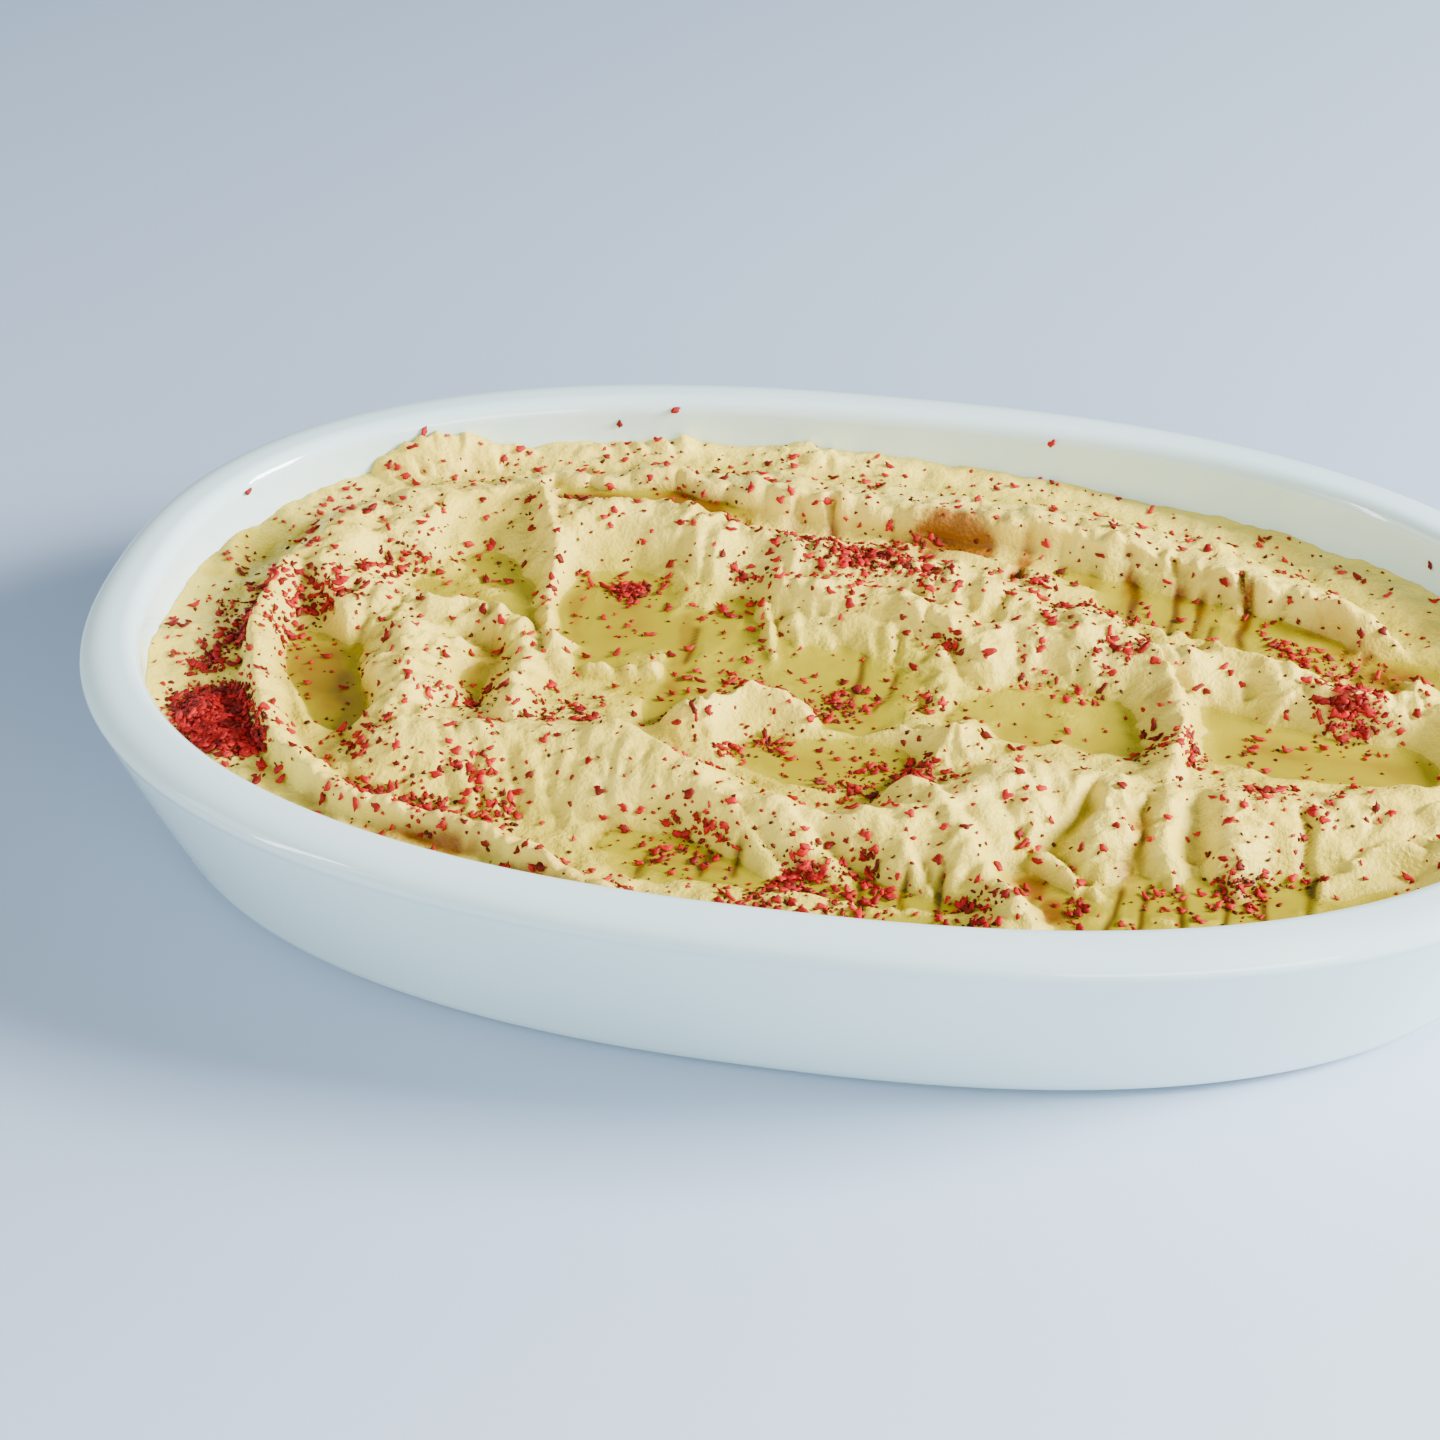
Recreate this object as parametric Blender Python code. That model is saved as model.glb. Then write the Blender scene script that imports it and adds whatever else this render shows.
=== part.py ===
"""Oval serving dish filled with swirled chickpea dip. Metres, +Z up.

The dish stands on its flat foot at z = 0, with its long side along X.
The dip fills it to just under the rim, and its top is a relief of rolls
that a spoon pushed up and of valleys that it scooped out.
"""

import math

import bmesh
import bpy
import numpy as np

MM = 0.001

# Dish, outside
DISH_LENGTH = 220 * MM
DISH_WIDTH = 143 * MM
DISH_HEIGHT = 32.2 * MM
OVAL_POWER = 2.38  # 2 is an ellipse, and more is squarer

# Dish, section: an inset is counted inwards from the outermost line
FOOT_INSET = 11 * MM
FOOT_ROUND = 2.6 * MM  # how far in the foot's edge is rounded
FOOT_FLATNESS = 0.75  # the rounding's height for its depth
FLARE_POWER = 1.08  # 1 is a straight wall, and more is rounder
SHOULDER_LEVEL = 29.6 * MM  # the widest line of the rim
UNDER_ANGLE = -22  # degrees round the rim, where the outer wall meets it
OUTER_SHOULDER = 4.6 * MM
INNER_SHOULDER = 2.6 * MM
WALL_INSET = 8.3 * MM  # the inner wall, right under the rim
WALL_TOP = 29.5 * MM
FLOOR_INSET = 20.5 * MM
FLOOR_HEIGHT = 5 * MM

# Dip
CLEARANCE = 0.45 * MM  # between the dip and the glaze
BAND_LEVEL = 24.4 * MM  # the dip's level along the wall
BAND_RISE_BACK_LEFT = 0.2 * MM
BAND_DROP_BACK_RIGHT = 2.9 * MM
BED_LEVEL = 22.5 * MM  # between the strokes
BED_RISE_BACK = 3.6 * MM
BED_RISE_FRONT = 1.8 * MM
HALF_HOLLOW_LENGTH = DISH_LENGTH / 2 - WALL_INSET
HALF_HOLLOW_WIDTH = DISH_WIDTH / 2 - WALL_INSET
BAND_RISES = (-0.5, 0.5)  # these four are shares of the hollow's half length or half width
BAND_DROPS = (-0.1, 0.65)
BED_BACK = (0.06, 0.5)
BED_FRONT_AT, BED_FRONT_REACH = -0.3, 0.14
BED_STARTS = (-0.86, -0.76)  # inwards from the wall, which is at -1
CREST_WOBBLE = 0.4 * MM
LUMPS = 0.55 * MM
LUMP_SIZE = 9 * MM
WANDER = 0.9 * MM  # how far each stroke strays sideways

# Mesh: cells along the dip's length and width; the dish has half as many sides
CELLS_LONG = 56
CELLS_WIDE = 38
UPPER_WALL_ANGLE = 12  # degrees down the inner curve, in the dish alone
WALL_ANGLES = (24, 40, 60, 75, 90)  # degrees down the inner curve, in dish and dip
SMOOTH_ANGLE = math.radians(50)


def roll(spine, half_width, fall=4.5, power=1.5, blend=0.8, lean=0.0):
    """A ridge: a crest line in millimetres, and how its sides fall away from it."""
    return dict(spine=spine, half_width=half_width, fall=fall, power=power, blend=blend, lean=lean, up=True)


def valley(spine, half_width, fall=5.0, power=2.0, blend=0.7, lean=0.0):
    """A scooped trough: its lowest line in millimetres, and how its sides rise."""
    return dict(spine=spine, half_width=half_width, fall=fall, power=power, blend=blend, lean=lean, up=False)


# Crest lines, each as (x, y, z) in millimetres
ROLLS = {
    "back lip": roll(
        [(-65, 35, 27.8), (-47, 40, 28.8), (-27, 42.5, 29), (7, 40.5, 29), (40, 38.5, 28.5), (61, 30, 28)],
        7, lean=0.35),
    "right lip": roll(
        [(62, 31, 27.6), (70.5, 26.5, 28.7), (78.5, 17, 28.5), (91, -11.5, 27), (85, -30, 27), (55, -52, 26)],
        5, lean=-0.2),
    "left plateau": roll(
        [(-63, 32.5, 28.3), (-75.5, 22, 29.2), (-79.5, 12, 29), (-77, 2, 28)],
        9.5, fall=4, power=2.4, blend=1),
    "left mound": roll(
        [(-74.5, 7.5, 27), (-69, 2, 27.4), (-64, -4, 28.3), (-61, -19, 28.2), (-57.5, -31.5, 27)],
        9, fall=5.5, lean=0.1),
    "back shelf": roll(
        [(-45, 30.5, 29), (-30.5, 33, 29.8), (-19, 27.5, 28.8), (10.5, 25, 28), (34, 15, 27.4)],
        8, power=1.6),
    "shelf crest": roll([(-13.5, 19, 27.4), (2.5, 16, 28.3), (13.5, 13.5, 28), (20, 8, 26.8)], 6, lean=0.2),
    "front roll": roll(
        [(-57.5, -29, 27.6), (-43, -26, 28.3), (-28, -27.5, 28.8), (-7.5, -37, 28.2), (4.5, -40.5, 28.4),
         (18.5, -33.5, 28.6), (28, -23.5, 28), (52, -25, 27.6), (68, -23.5, 27.6), (83.5, -19, 27.5)],
        11, fall=5.8, power=1.35, blend=0.6, lean=-0.28),
    "centre mound": roll(
        [(-19, -16.5, 26.5), (-9.5, -12.5, 28.4), (-3.5, -18.5, 27.2), (12, -17.5, 26.9), (19, -14.5, 27.2)],
        7, fall=5),
    "right fan": roll(
        [(20, 11.5, 27.2), (36, 12.5, 27.8), (43, 8.5, 27.8), (57, 9, 27.5), (81, 4.5, 27)], 7.5),
    "right mound": roll([(62, 4, 27.3), (75, -2, 27.4), (82, -4, 26.8)], 10, fall=5, power=1.8),
    "cross lip": roll([(43.5, 8, 28), (48, -5, 28.1), (48, -21.5, 27)], 5, fall=5, power=1.2, blend=0.5),
}
VALLEYS = {
    "front moat": valley(
        [(-66, -36.5, 25.5), (-41, -41.5, 23.3), (-11, -45, 21.3), (23.5, -47, 21.3), (48, -43, 21.3),
         (70.5, -38.5, 21.6), (78.5, -33.5, 22.5)],
        6.5, fall=4.5, blend=0.9),
    "back moat": valley(
        [(-52, 41, 26), (-30, 41.3, 25.6), (-13, 37.5, 24.5), (10, 36, 23.8), (30, 33, 23.2), (50, 27, 22.6),
         (70.5, 20, 22.8), (88, 13, 22.5)],
        5),
    "amber hole": valley([(8.5, 37.5, 24.6), (12, 36.8, 23.4), (16, 36, 24.2)], 4.2, power=3),
    "amber strip": valley(
        [(-50, 38.5, 25), (-38, 39.5, 24.2), (-30, 41, 23.8), (-26, 40, 24.4)], 3.6, fall=4),
    "left pool": valley(
        [(-81, 0, 24.2), (-77, -9, 20.9), (-72.5, -17, 20.5), (-69.5, -22, 21.2)], 5.8, fall=5.5, power=3),
    "outer hollow": valley([(-95, 26, 24.6), (-92.5, 18, 23), (-92.5, 10, 23.6)], 6, fall=2.5),
    "left step": valley([(-83.5, 5, 26.6), (-81, -0.5, 25.6)], 4.5, fall=3.5),
    "left basin": valley(
        [(-57, 34.5, 27), (-58.5, 25.5, 23.4), (-57.5, 20, 21.9), (-51.5, 15, 22.2)], 9.5, fall=5.4),
    "narrow groove": valley([(-52.5, 0.5, 25), (-52, -8.5, 21.5), (-50.5, -15.5, 23)], 4.2, fall=4.5),
    "front basin": valley([(-41, -5.5, 23.9), (-29, -10, 23.5)], 8.5, fall=4.5),
    "main slope": valley(
        [(-34, 30.5, 28.3), (-35, 23, 22.7), (-35, 17, 20.8), (-33.5, 8.5, 20.8)], 11, fall=5.5),
    "second slope": valley([(-17.5, 26.5, 27), (-18, 16, 22), (-17, 2, 22)], 7.5),
    "diagonal": valley([(-23.5, 7.5, 21.4), (-25.5, -8, 21.8), (-26.5, -17, 23)], 3.6, fall=4.5, blend=0.5),
    "middle slope": valley(
        [(1, 16.5, 26.6), (1.5, 10, 25), (2, 5.5, 22.6), (3.5, 0, 21.5), (4.5, -7, 21.2)], 9, power=2.8),
    "centre pool": valley([(-8, -20.5, 21.4), (-0.5, -21, 20.3), (8, -20, 21)], 9, fall=5.5),
    "fan slope left": valley([(25, 9.5, 26), (28.5, -7, 21)], 8),
    "fan slope right": valley([(39, 10, 26.5), (38, -7.5, 21.5)], 9),
    "right slope": valley([(55, 8, 26), (56, -2, 22.5), (61.5, -7, 21), (79.5, -7.5, 21.3)], 8.5),
}
LIPS = {
    "outer lip": roll(
        [(-82, 19, 27), (-84.6, 9.5, 28.2), (-85.4, -2, 28.8), (-83.2, -13.5, 28.8), (-80, -23, 28.4),
         (-75.5, -31, 28.2), (-70, -37.3, 28), (-60, -44, 27.8), (-45.6, -47.8, 27.4), (-38, -49.4, 27.4),
         (-31, -53, 27), (-22, -56, 26.6), (-10, -58.5, 25.8), (0, -60, 23.5)],
        3.2, fall=4.8, power=1.7, blend=0.4),
    "pool wall": roll([(-53.5, 35, 29), (-47, 22, 28.5), (-43, 8.5, 27), (-42, -1.5, 25.8)], 4.6, power=1.3),
    "crumbled crest": roll(
        [(-48, 1, 25.6), (-40, -3.5, 24.9), (-33, -3.6, 24.6), (-27, -2.5, 24.2)], 2.8, fall=2.6, power=1.3),
    "deep left": valley([(-42.5, 19, 22.8), (-42, 13.5, 20.6), (-40.5, 5, 21.2)], 3, fall=3, power=1.6),
    "olive trough": valley(
        [(-24.5, 12, 21.4), (-23.8, 5, 20.5), (-24, -3, 20.9), (-24.6, -9, 21.8), (-25, -16, 23)],
        3.2, fall=3.6, power=1.7),
    "groove side": roll([(-46.5, 0, 26.6), (-43.5, -20.5, 27.2)], 4, fall=4, power=1.3),
    "long fold": roll(
        [(-31, -25, 29.3), (-22, -28.5, 29.5), (-14.5, -33, 29), (-7, -39.5, 27.4), (-2.5, -45, 24.4)],
        5, fall=4.4, power=1.25),
    "second fold": roll([(-4, -37.5, 28.8), (2, -42, 26.8), (7, -46, 23.4)], 4.2, fall=3.6, power=1.4),
    "third fold": roll([(9.5, -37.5, 28.8), (15, -42, 26.6), (18.5, -46, 23.4)], 4.4, fall=3.6, power=1.4),
    "diagonal crest": roll(
        [(15, -29, 28.6), (18, -33, 28.6), (23.5, -41, 27.7), (28.3, -47.5, 26.6), (33, -55, 24.6)],
        4.6, fall=4, power=1.3),
    "first lobe": roll([(27, -24, 28.6), (30, -29.5, 28), (31, -33.5, 26.4)], 5, fall=3.4, power=2),
    "second lobe": roll([(42, -25, 28.6), (40.5, -34, 27.4), (40, -39.5, 24)], 4.8, fall=3.6, power=1.9),
    "third lobe": roll([(48.5, -27, 28), (49, -35, 26.8), (50, -39.5, 23.4)], 3.8, fall=3.6, power=1.8),
    "fourth lobe": roll([(57.5, -25, 28), (58.5, -34.5, 26.8), (59, -38.5, 23.4)], 5.4, fall=3.4, power=2),
    "sandy lobe": roll([(86, -20, 27.2), (79.5, -31, 26.8), (73.5, -38, 25)], 6, fall=3.6, power=2),
    "brown crease": valley(
        [(22, -34, 26.4), (27.5, -39.5, 24.4), (31.5, -43.8, 23.4), (37, -50, 22.8)], 3.6, fall=3, power=1.4),
    "oil groove": valley([(39, -21, 26.8), (36.5, -29.5, 24.6), (34, -36, 22.8)], 2.8, fall=3, power=1.5),
    "grey hollow": valley([(53, -23, 26.6), (53, -33.5, 23)], 3, fall=3, power=1.5),
    "fourth groove": valley([(66.5, -25, 26.2), (67.6, -34.5, 22.6)], 2.6, fall=3, power=1.5),
    "back pool": valley(
        [(33, 28.5, 24.8), (40, 26.5, 23), (49, 24.3, 22.6), (59, 20, 22.7), (76, 13, 22.9)],
        8, fall=4.8, power=2.8),
    "left smear": roll(
        [(-83, 42, 25.2), (-78, 45.5, 28.6), (-72, 48.5, 29.4), (-66, 50.5, 28.3), (-60, 52, 25.8)],
        4.6, fall=4),
    "back smear": roll([(-50, 54.5, 24.6), (-42, 57, 25.6), (-35, 58, 26.2)], 5, fall=3.5, power=1.6),
    "middle smear": roll([(-23, 59, 24.6), (-14, 60, 26.2), (-6, 59.5, 25.9), (1, 59, 24.4)], 7, fall=3.5),
    "second crest": roll([(33, -38.5, 25.6), (38, -42.5, 24.6), (43, -44.5, 23)], 3, fall=3, power=1.3),
    "front gutter": valley(
        [(-5, -61, 23), (6, -60.5, 21.8), (14, -60, 21.6), (21, -59.5, 22)], 10, fall=3, power=3),
    "right gutter": valley(
        [(41, -57, 22), (52, -53.5, 21.7), (68, -47, 21.9), (80, -39, 23)], 9.5, fall=3, power=3),
    "basin wing": valley([(-72.5, 14, 25.2), (-67, 14, 22.9), (-61.5, 14.5, 22.2)], 5, fall=4.4),
    "basin bank": roll(
        [(-64, 5, 26.8), (-57, 4.4, 26.6), (-51.5, 3, 26.2), (-47, 0.5, 25.6)], 4, fall=3.6, power=2),
    "middle spur": roll([(12.5, 13, 27.2), (13, 8, 25.8), (13.8, 2, 24.5), (14.5, -3.5, 23.5)], 4, fall=3.6),
    "shelf foot": roll(
        [(-8, 12.3, 25), (-2, 11.6, 25.7), (6, 11.4, 25.8), (11, 9.5, 25.3)], 5.2, fall=3, power=1.2),
}
SPINE_STEP = 1.5 * MM


# Relief

def lattice_noise(x, y, size, seed):
    """Smooth random values from -1 to 1, with features of the given size."""
    side = 64
    grid = np.random.RandomState(seed).rand(side, side) * 2 - 1
    u, v = x / size + 10 * side, y / size + 10 * side
    column, row = np.floor(u).astype(int), np.floor(v).astype(int)
    across, along = u - column, v - row
    across = across ** 3 * (across * (across * 6 - 15) + 10)
    along = along ** 3 * (along * (along * 6 - 15) + 10)
    left, right = column % side, (column + 1) % side
    low, high = row % side, (row + 1) % side
    near = grid[left, low] * (1 - across) + grid[right, low] * across
    far = grid[left, high] * (1 - across) + grid[right, high] * across
    return near * (1 - along) + far * along


def smooth_step(value, start, end):
    share = np.clip((value - start) / (end - start), 0, 1)
    return share * share * (3 - 2 * share)


def smooth_max(first, second, blend):
    share = np.clip(0.5 + 0.5 * (first - second) / blend, 0, 1)
    return second * (1 - share) + first * share + blend * share * (1 - share)


def smooth_spine(points):
    """Catmull-Rom curve through a stroke's points, in metres."""
    knots = np.array(points, float) * MM
    if len(knots) == 2:
        return knots
    ends = np.vstack([2 * knots[0] - knots[1], knots, 2 * knots[-1] - knots[-2]])
    curve = []
    for a, b, c, d in zip(ends[:-3], ends[1:-2], ends[2:-1], ends[3:]):
        count = max(2, int(np.linalg.norm(c[:2] - b[:2]) / SPINE_STEP))
        for t in np.arange(count) / count:
            bend = (2 * a - 5 * b + 4 * c - d) * t ** 2 + (3 * b - a - 3 * c + d) * t ** 3
            curve.append(0.5 * (2 * b + (c - a) * t + bend))
    curve.append(knots[-1])
    return np.array(curve)


def measure(x, y, spine):
    """For each point: distance to the spine, side of it (-1 to 1), way along it, height there."""
    distance = np.full(x.shape, np.inf)
    side, along, level = np.zeros(x.shape), np.zeros(x.shape), np.zeros(x.shape)
    walked = 0.0
    for start, end in zip(spine[:-1], spine[1:]):
        step = end - start
        length = math.hypot(step[0], step[1])
        share = np.clip(((x - start[0]) * step[0] + (y - start[1]) * step[1]) / length ** 2, 0, 1)
        dx, dy = x - start[0] - share * step[0], y - start[1] - share * step[1]
        here = np.hypot(dx, dy)
        nearer = here < distance
        turn = (step[0] * dy - step[1] * dx) / (length * np.maximum(here, 1e-9))
        side = np.where(nearer, turn, side)
        along = np.where(nearer, walked + share * length, along)
        level = np.where(nearer, start[2] + share * step[2], level)
        distance = np.minimum(distance, here)
        walked += length
    return distance, side, along, level


def way_out(x, y):
    """0 at the middle of the dish and 1 at its inner wall."""
    along, across = np.abs(x / HALF_HOLLOW_LENGTH), np.abs(y / HALF_HOLLOW_WIDTH)
    return (along ** OVAL_POWER + across ** OVAL_POWER) ** (1 / OVAL_POWER)


def bed_level(x, y):
    """The dip before the strokes: a band along the wall and a bed inside it."""
    across, along = x / HALF_HOLLOW_LENGTH, y / HALF_HOLLOW_WIDTH
    back = np.clip(along, 0, 1)
    band = BAND_LEVEL + BAND_RISE_BACK_LEFT * back * smooth_step(-across, *BAND_RISES)
    band = band - BAND_DROP_BACK_RIGHT * back * smooth_step(across, *BAND_DROPS)
    bed = BED_LEVEL + BED_RISE_BACK * smooth_step(along, *BED_BACK)
    bed = bed + BED_RISE_FRONT * np.exp(-((along - BED_FRONT_AT) / BED_FRONT_REACH) ** 2)
    inside = smooth_step(-way_out(x, y), *BED_STARTS)
    return band * (1 - inside) + bed * inside


def relief(x, y):
    """Height of the dip's top at each (x, y)."""
    lumps = LUMPS * lattice_noise(x, y, LUMP_SIZE, 21)
    x, y = x + WANDER * lattice_noise(x, y, LUMP_SIZE, 1), y + WANDER * lattice_noise(x, y, LUMP_SIZE, 11)
    z = bed_level(x, y)
    for number, stroke in enumerate([*ROLLS.values(), *VALLEYS.values(), *LIPS.values()]):
        distance, side, along, level = measure(x, y, smooth_spine(stroke["spine"]))
        share = distance / (stroke["half_width"] * MM * (1 + stroke["lean"] * side))
        fall = stroke["fall"] * MM * share ** stroke["power"]
        level = level + CREST_WOBBLE * lattice_noise(along, 0 * along, LUMP_SIZE, number)
        blend = stroke["blend"] * MM
        if stroke["up"]:
            z = smooth_max(z, level - fall, blend)
        else:
            z = -smooth_max(-z, -(level + fall), blend)
    return z + lumps


# Oval rings

def square_walk(cells_long, cells_wide):
    """Points (u, v) once round the square of half size 1, anticlockwise from a corner."""
    u = np.linspace(-1, 1, cells_long + 1)[:-1]
    v = np.linspace(-1, 1, cells_wide + 1)[:-1]
    sides = [
        np.column_stack([u, np.full(len(u), -1.0)]),
        np.column_stack([np.full(len(v), 1.0), v]),
        np.column_stack([-u, np.full(len(u), 1.0)]),
        np.column_stack([np.full(len(v), -1.0), -v]),
    ]
    return np.vstack(sides)


def oval_points(u, v, inset):
    """The square's points carried onto the oval that lies inset from the dish's outline."""
    out = np.maximum(np.abs(u), np.abs(v))
    reach = (np.abs(u) ** OVAL_POWER + np.abs(v) ** OVAL_POWER) ** (1 / OVAL_POWER)
    scale = out / np.maximum(reach, 1e-9)
    return u * scale * (DISH_LENGTH / 2 - inset), v * scale * (DISH_WIDTH / 2 - inset)


def inner_wall(angle, clearance=0.0):
    """(inset, height) on the inner curve: angle 0 is under the rim and 90 degrees is the floor."""
    across = FLOOR_INSET - WALL_INSET - clearance
    down = WALL_TOP - FLOOR_HEIGHT - clearance
    return FLOOR_INSET - across * np.cos(angle), WALL_TOP - down * np.sin(angle)


def shoulder(angle):
    """(inset, height) on the rim's outer half: angle 0 is its widest line and 90 degrees its top."""
    rise = DISH_HEIGHT - SHOULDER_LEVEL
    return OUTER_SHOULDER * (1 - math.cos(angle)), SHOULDER_LEVEL + rise * math.sin(angle)


def outer_wall(share):
    """(inset, height) on the outside, from the foot at 0 to the underside of the rim at 1."""
    inset, height = shoulder(math.radians(UNDER_ANGLE))
    return inset + (FOOT_INSET - inset) * (1 - share) ** FLARE_POWER, share * height


def dish_section():
    """(inset, height) from the foot up the outside, over the rim and down to the floor."""
    points = []
    for angle in np.radians([0, 35, 60]):
        inset = FOOT_INSET + FOOT_ROUND * (1 - math.sin(angle))
        points.append((inset, FOOT_FLATNESS * FOOT_ROUND * (1 - math.cos(angle))))
    points += [outer_wall(share) for share in (0.1, 0.55)]
    points += [shoulder(angle) for angle in np.radians([UNDER_ANGLE, 0, 35, 62, 90])]
    for angle in np.radians([90, 45, 0]):
        inset = WALL_INSET - INNER_SHOULDER * (1 - math.cos(angle))
        points.append((inset, WALL_TOP + (DISH_HEIGHT - WALL_TOP) * math.sin(angle)))
    points += [inner_wall(math.radians(angle)) for angle in (UPPER_WALL_ANGLE, *WALL_ANGLES)]
    return points


# Meshes

def bridge(mesh, lower, upper):
    """Quads between two closed rings of vertices, the upper one above or further in."""
    for i in range(len(lower)):
        j = (i + 1) % len(lower)
        mesh.faces.new((lower[i], lower[j], upper[j], upper[i]))


def finish(mesh, name, material):
    data = bpy.data.meshes.new(name)
    bmesh.ops.recalc_face_normals(mesh, faces=mesh.faces)
    mesh.to_mesh(data)
    mesh.free()
    data.shade_smooth()
    data.set_sharp_from_angle(angle=SMOOTH_ANGLE)
    data.materials.append(material)
    piece = bpy.data.objects.new(name, data)
    bpy.context.collection.objects.link(piece)
    return piece


def surface(name, colour, roughness):
    material = bpy.data.materials.new(name)
    material.use_nodes = True
    shader = material.node_tree.nodes["Principled BSDF"]
    shader.inputs["Base Color"].default_value = (*colour, 1)
    shader.inputs["Roughness"].default_value = roughness
    shader.inputs["Metallic"].default_value = 0
    return material


def make_dish():
    """The dish: the section carried round the oval, closed by its foot and its floor."""
    mesh = bmesh.new()
    u, v = square_walk(CELLS_LONG // 2, CELLS_WIDE // 2).T
    rings = []
    for inset, height in dish_section():
        x, y = oval_points(u, v, inset)
        rings.append([mesh.verts.new((px, py, height)) for px, py in zip(x, y)])
    for lower, upper in zip(rings[:-1], rings[1:]):
        bridge(mesh, lower, upper)
    mesh.faces.new(reversed(rings[0]))
    mesh.faces.new(rings[-1])
    return finish(mesh, "dish", surface("white glaze", (0.84, 0.86, 0.85), 0.12))


def dip_edge(u, v):
    """Where the dip meets the wall: x, y, z and the angle on the inner curve, for points round the square."""
    down = WALL_TOP - FLOOR_HEIGHT - CLEARANCE
    angle = np.full(u.shape, math.radians(UPPER_WALL_ANGLE))
    for _ in range(3):
        inset, _height = inner_wall(angle, CLEARANCE)
        x, y = oval_points(u, v, inset)
        z = relief(x, y)
        angle = np.arcsin((WALL_TOP - z) / down)
    return x, y, z


def make_dip():
    """The dip: its relief on a grid fitted to the oval, with sides that follow the inner wall."""
    mesh = bmesh.new()
    columns, rows = np.linspace(-1, 1, CELLS_LONG + 1), np.linspace(-1, 1, CELLS_WIDE + 1)
    u, v = np.meshgrid(columns, rows, indexing="ij")
    inset, _height = inner_wall(math.radians(UPPER_WALL_ANGLE), CLEARANCE)
    x, y = oval_points(u, v, inset)
    z = relief(x, y)
    border = np.maximum(np.abs(u), np.abs(v)) > 1 - 1e-6
    x[border], y[border], z[border] = dip_edge(u[border], v[border])
    top = [[mesh.verts.new(p) for p in zip(*line)] for line in zip(x, y, z)]
    for i in range(CELLS_LONG):
        for j in range(CELLS_WIDE):
            mesh.faces.new((top[i][j], top[i + 1][j], top[i + 1][j + 1], top[i][j + 1]))
    ring = [row[0] for row in top[:-1]] + top[-1][:-1]
    ring += [row[-1] for row in top[:0:-1]] + top[0][:0:-1]
    walk = square_walk(CELLS_LONG, CELLS_WIDE)
    for angle in WALL_ANGLES:
        inset, height = inner_wall(math.radians(angle), CLEARANCE)
        px, py = oval_points(walk[:, 0], walk[:, 1], inset)
        lower = [mesh.verts.new((a, b, height)) for a, b in zip(px, py)]
        bridge(mesh, lower, ring)
        ring = lower
    mesh.faces.new(reversed(ring))
    return finish(mesh, "hummus", surface("chickpea dip", (0.82, 0.68, 0.40), 0.55))


for old in list(bpy.data.objects):
    bpy.data.objects.remove(old, do_unlink=True)
make_dish()
make_dip()
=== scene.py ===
import math

import bmesh
import bpy
import numpy as np
from mathutils import Matrix, Vector


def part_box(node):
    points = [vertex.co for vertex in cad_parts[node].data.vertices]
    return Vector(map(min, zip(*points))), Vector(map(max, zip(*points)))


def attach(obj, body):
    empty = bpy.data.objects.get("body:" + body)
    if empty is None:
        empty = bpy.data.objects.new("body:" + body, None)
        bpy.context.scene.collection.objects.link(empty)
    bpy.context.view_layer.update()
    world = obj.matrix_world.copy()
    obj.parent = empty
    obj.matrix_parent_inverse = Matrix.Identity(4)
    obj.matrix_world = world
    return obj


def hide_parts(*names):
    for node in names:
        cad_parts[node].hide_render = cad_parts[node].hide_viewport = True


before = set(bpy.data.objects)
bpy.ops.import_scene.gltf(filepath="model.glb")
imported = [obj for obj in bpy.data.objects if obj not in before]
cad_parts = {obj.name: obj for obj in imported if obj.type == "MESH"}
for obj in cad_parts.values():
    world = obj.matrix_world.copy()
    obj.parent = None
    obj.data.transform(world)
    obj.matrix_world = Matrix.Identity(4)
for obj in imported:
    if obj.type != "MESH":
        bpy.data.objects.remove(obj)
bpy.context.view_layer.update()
print("frame loaded")

mm = 0.001
dishLow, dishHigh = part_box("dish")
halfLength = (dishHigh.x - dishLow.x) / 2
halfWidth = (dishHigh.y - dishLow.y) / 2
rimTop = dishHigh.z


# Short ways to make objects, nodes and materials

def newObject(name, data):
    item = bpy.data.objects.new(name, data)
    bpy.context.collection.objects.link(item)
    return item


def aim(item, at, to):
    item.location = at
    item.rotation_euler = (to - at).to_track_quat("-Z", "Y").to_euler()


def setInputs(tree, node, inputs):
    # sets each input, or links it where a node or an output is given: a node's first output counts
    for name, value in inputs.items():
        if isinstance(name, int):
            socket = node.inputs[name]
        else:
            socket = next(each for each in node.inputs if each.enabled and each.name == name)
        if isinstance(value, bpy.types.Node):
            value = next(each for each in value.outputs if each.enabled)
        if isinstance(value, bpy.types.NodeSocket):
            tree.links.new(value, socket)
        else:
            socket.default_value = (*value, 1) if socket.type == "RGBA" else value


def addNode(tree, kind, inputs, **settings):
    node = tree.nodes.new(kind)
    for name, value in settings.items():
        setattr(node, name, value)
    setInputs(tree, node, inputs)
    return node


def calculate(tree, operation, *values):
    return addNode(tree, "ShaderNodeMath", dict(enumerate(values)), operation=operation)


def attribute(tree, name):
    return addNode(tree, "ShaderNodeAttribute", {}, attribute_name=name).outputs["Fac"]


def objectPlace(tree):
    return addNode(tree, "ShaderNodeTexCoord", {}).outputs["Object"]


def noise(tree, scale, detail, **settings):
    inputs = {"Vector": objectPlace(tree), "Scale": scale, "Detail": detail}
    return addNode(tree, "ShaderNodeTexNoise", inputs, **settings).outputs["Fac"]


def bump(tree, height, strength, distance):
    return addNode(tree, "ShaderNodeBump", {"Height": height, "Strength": strength, "Distance": distance})


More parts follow.
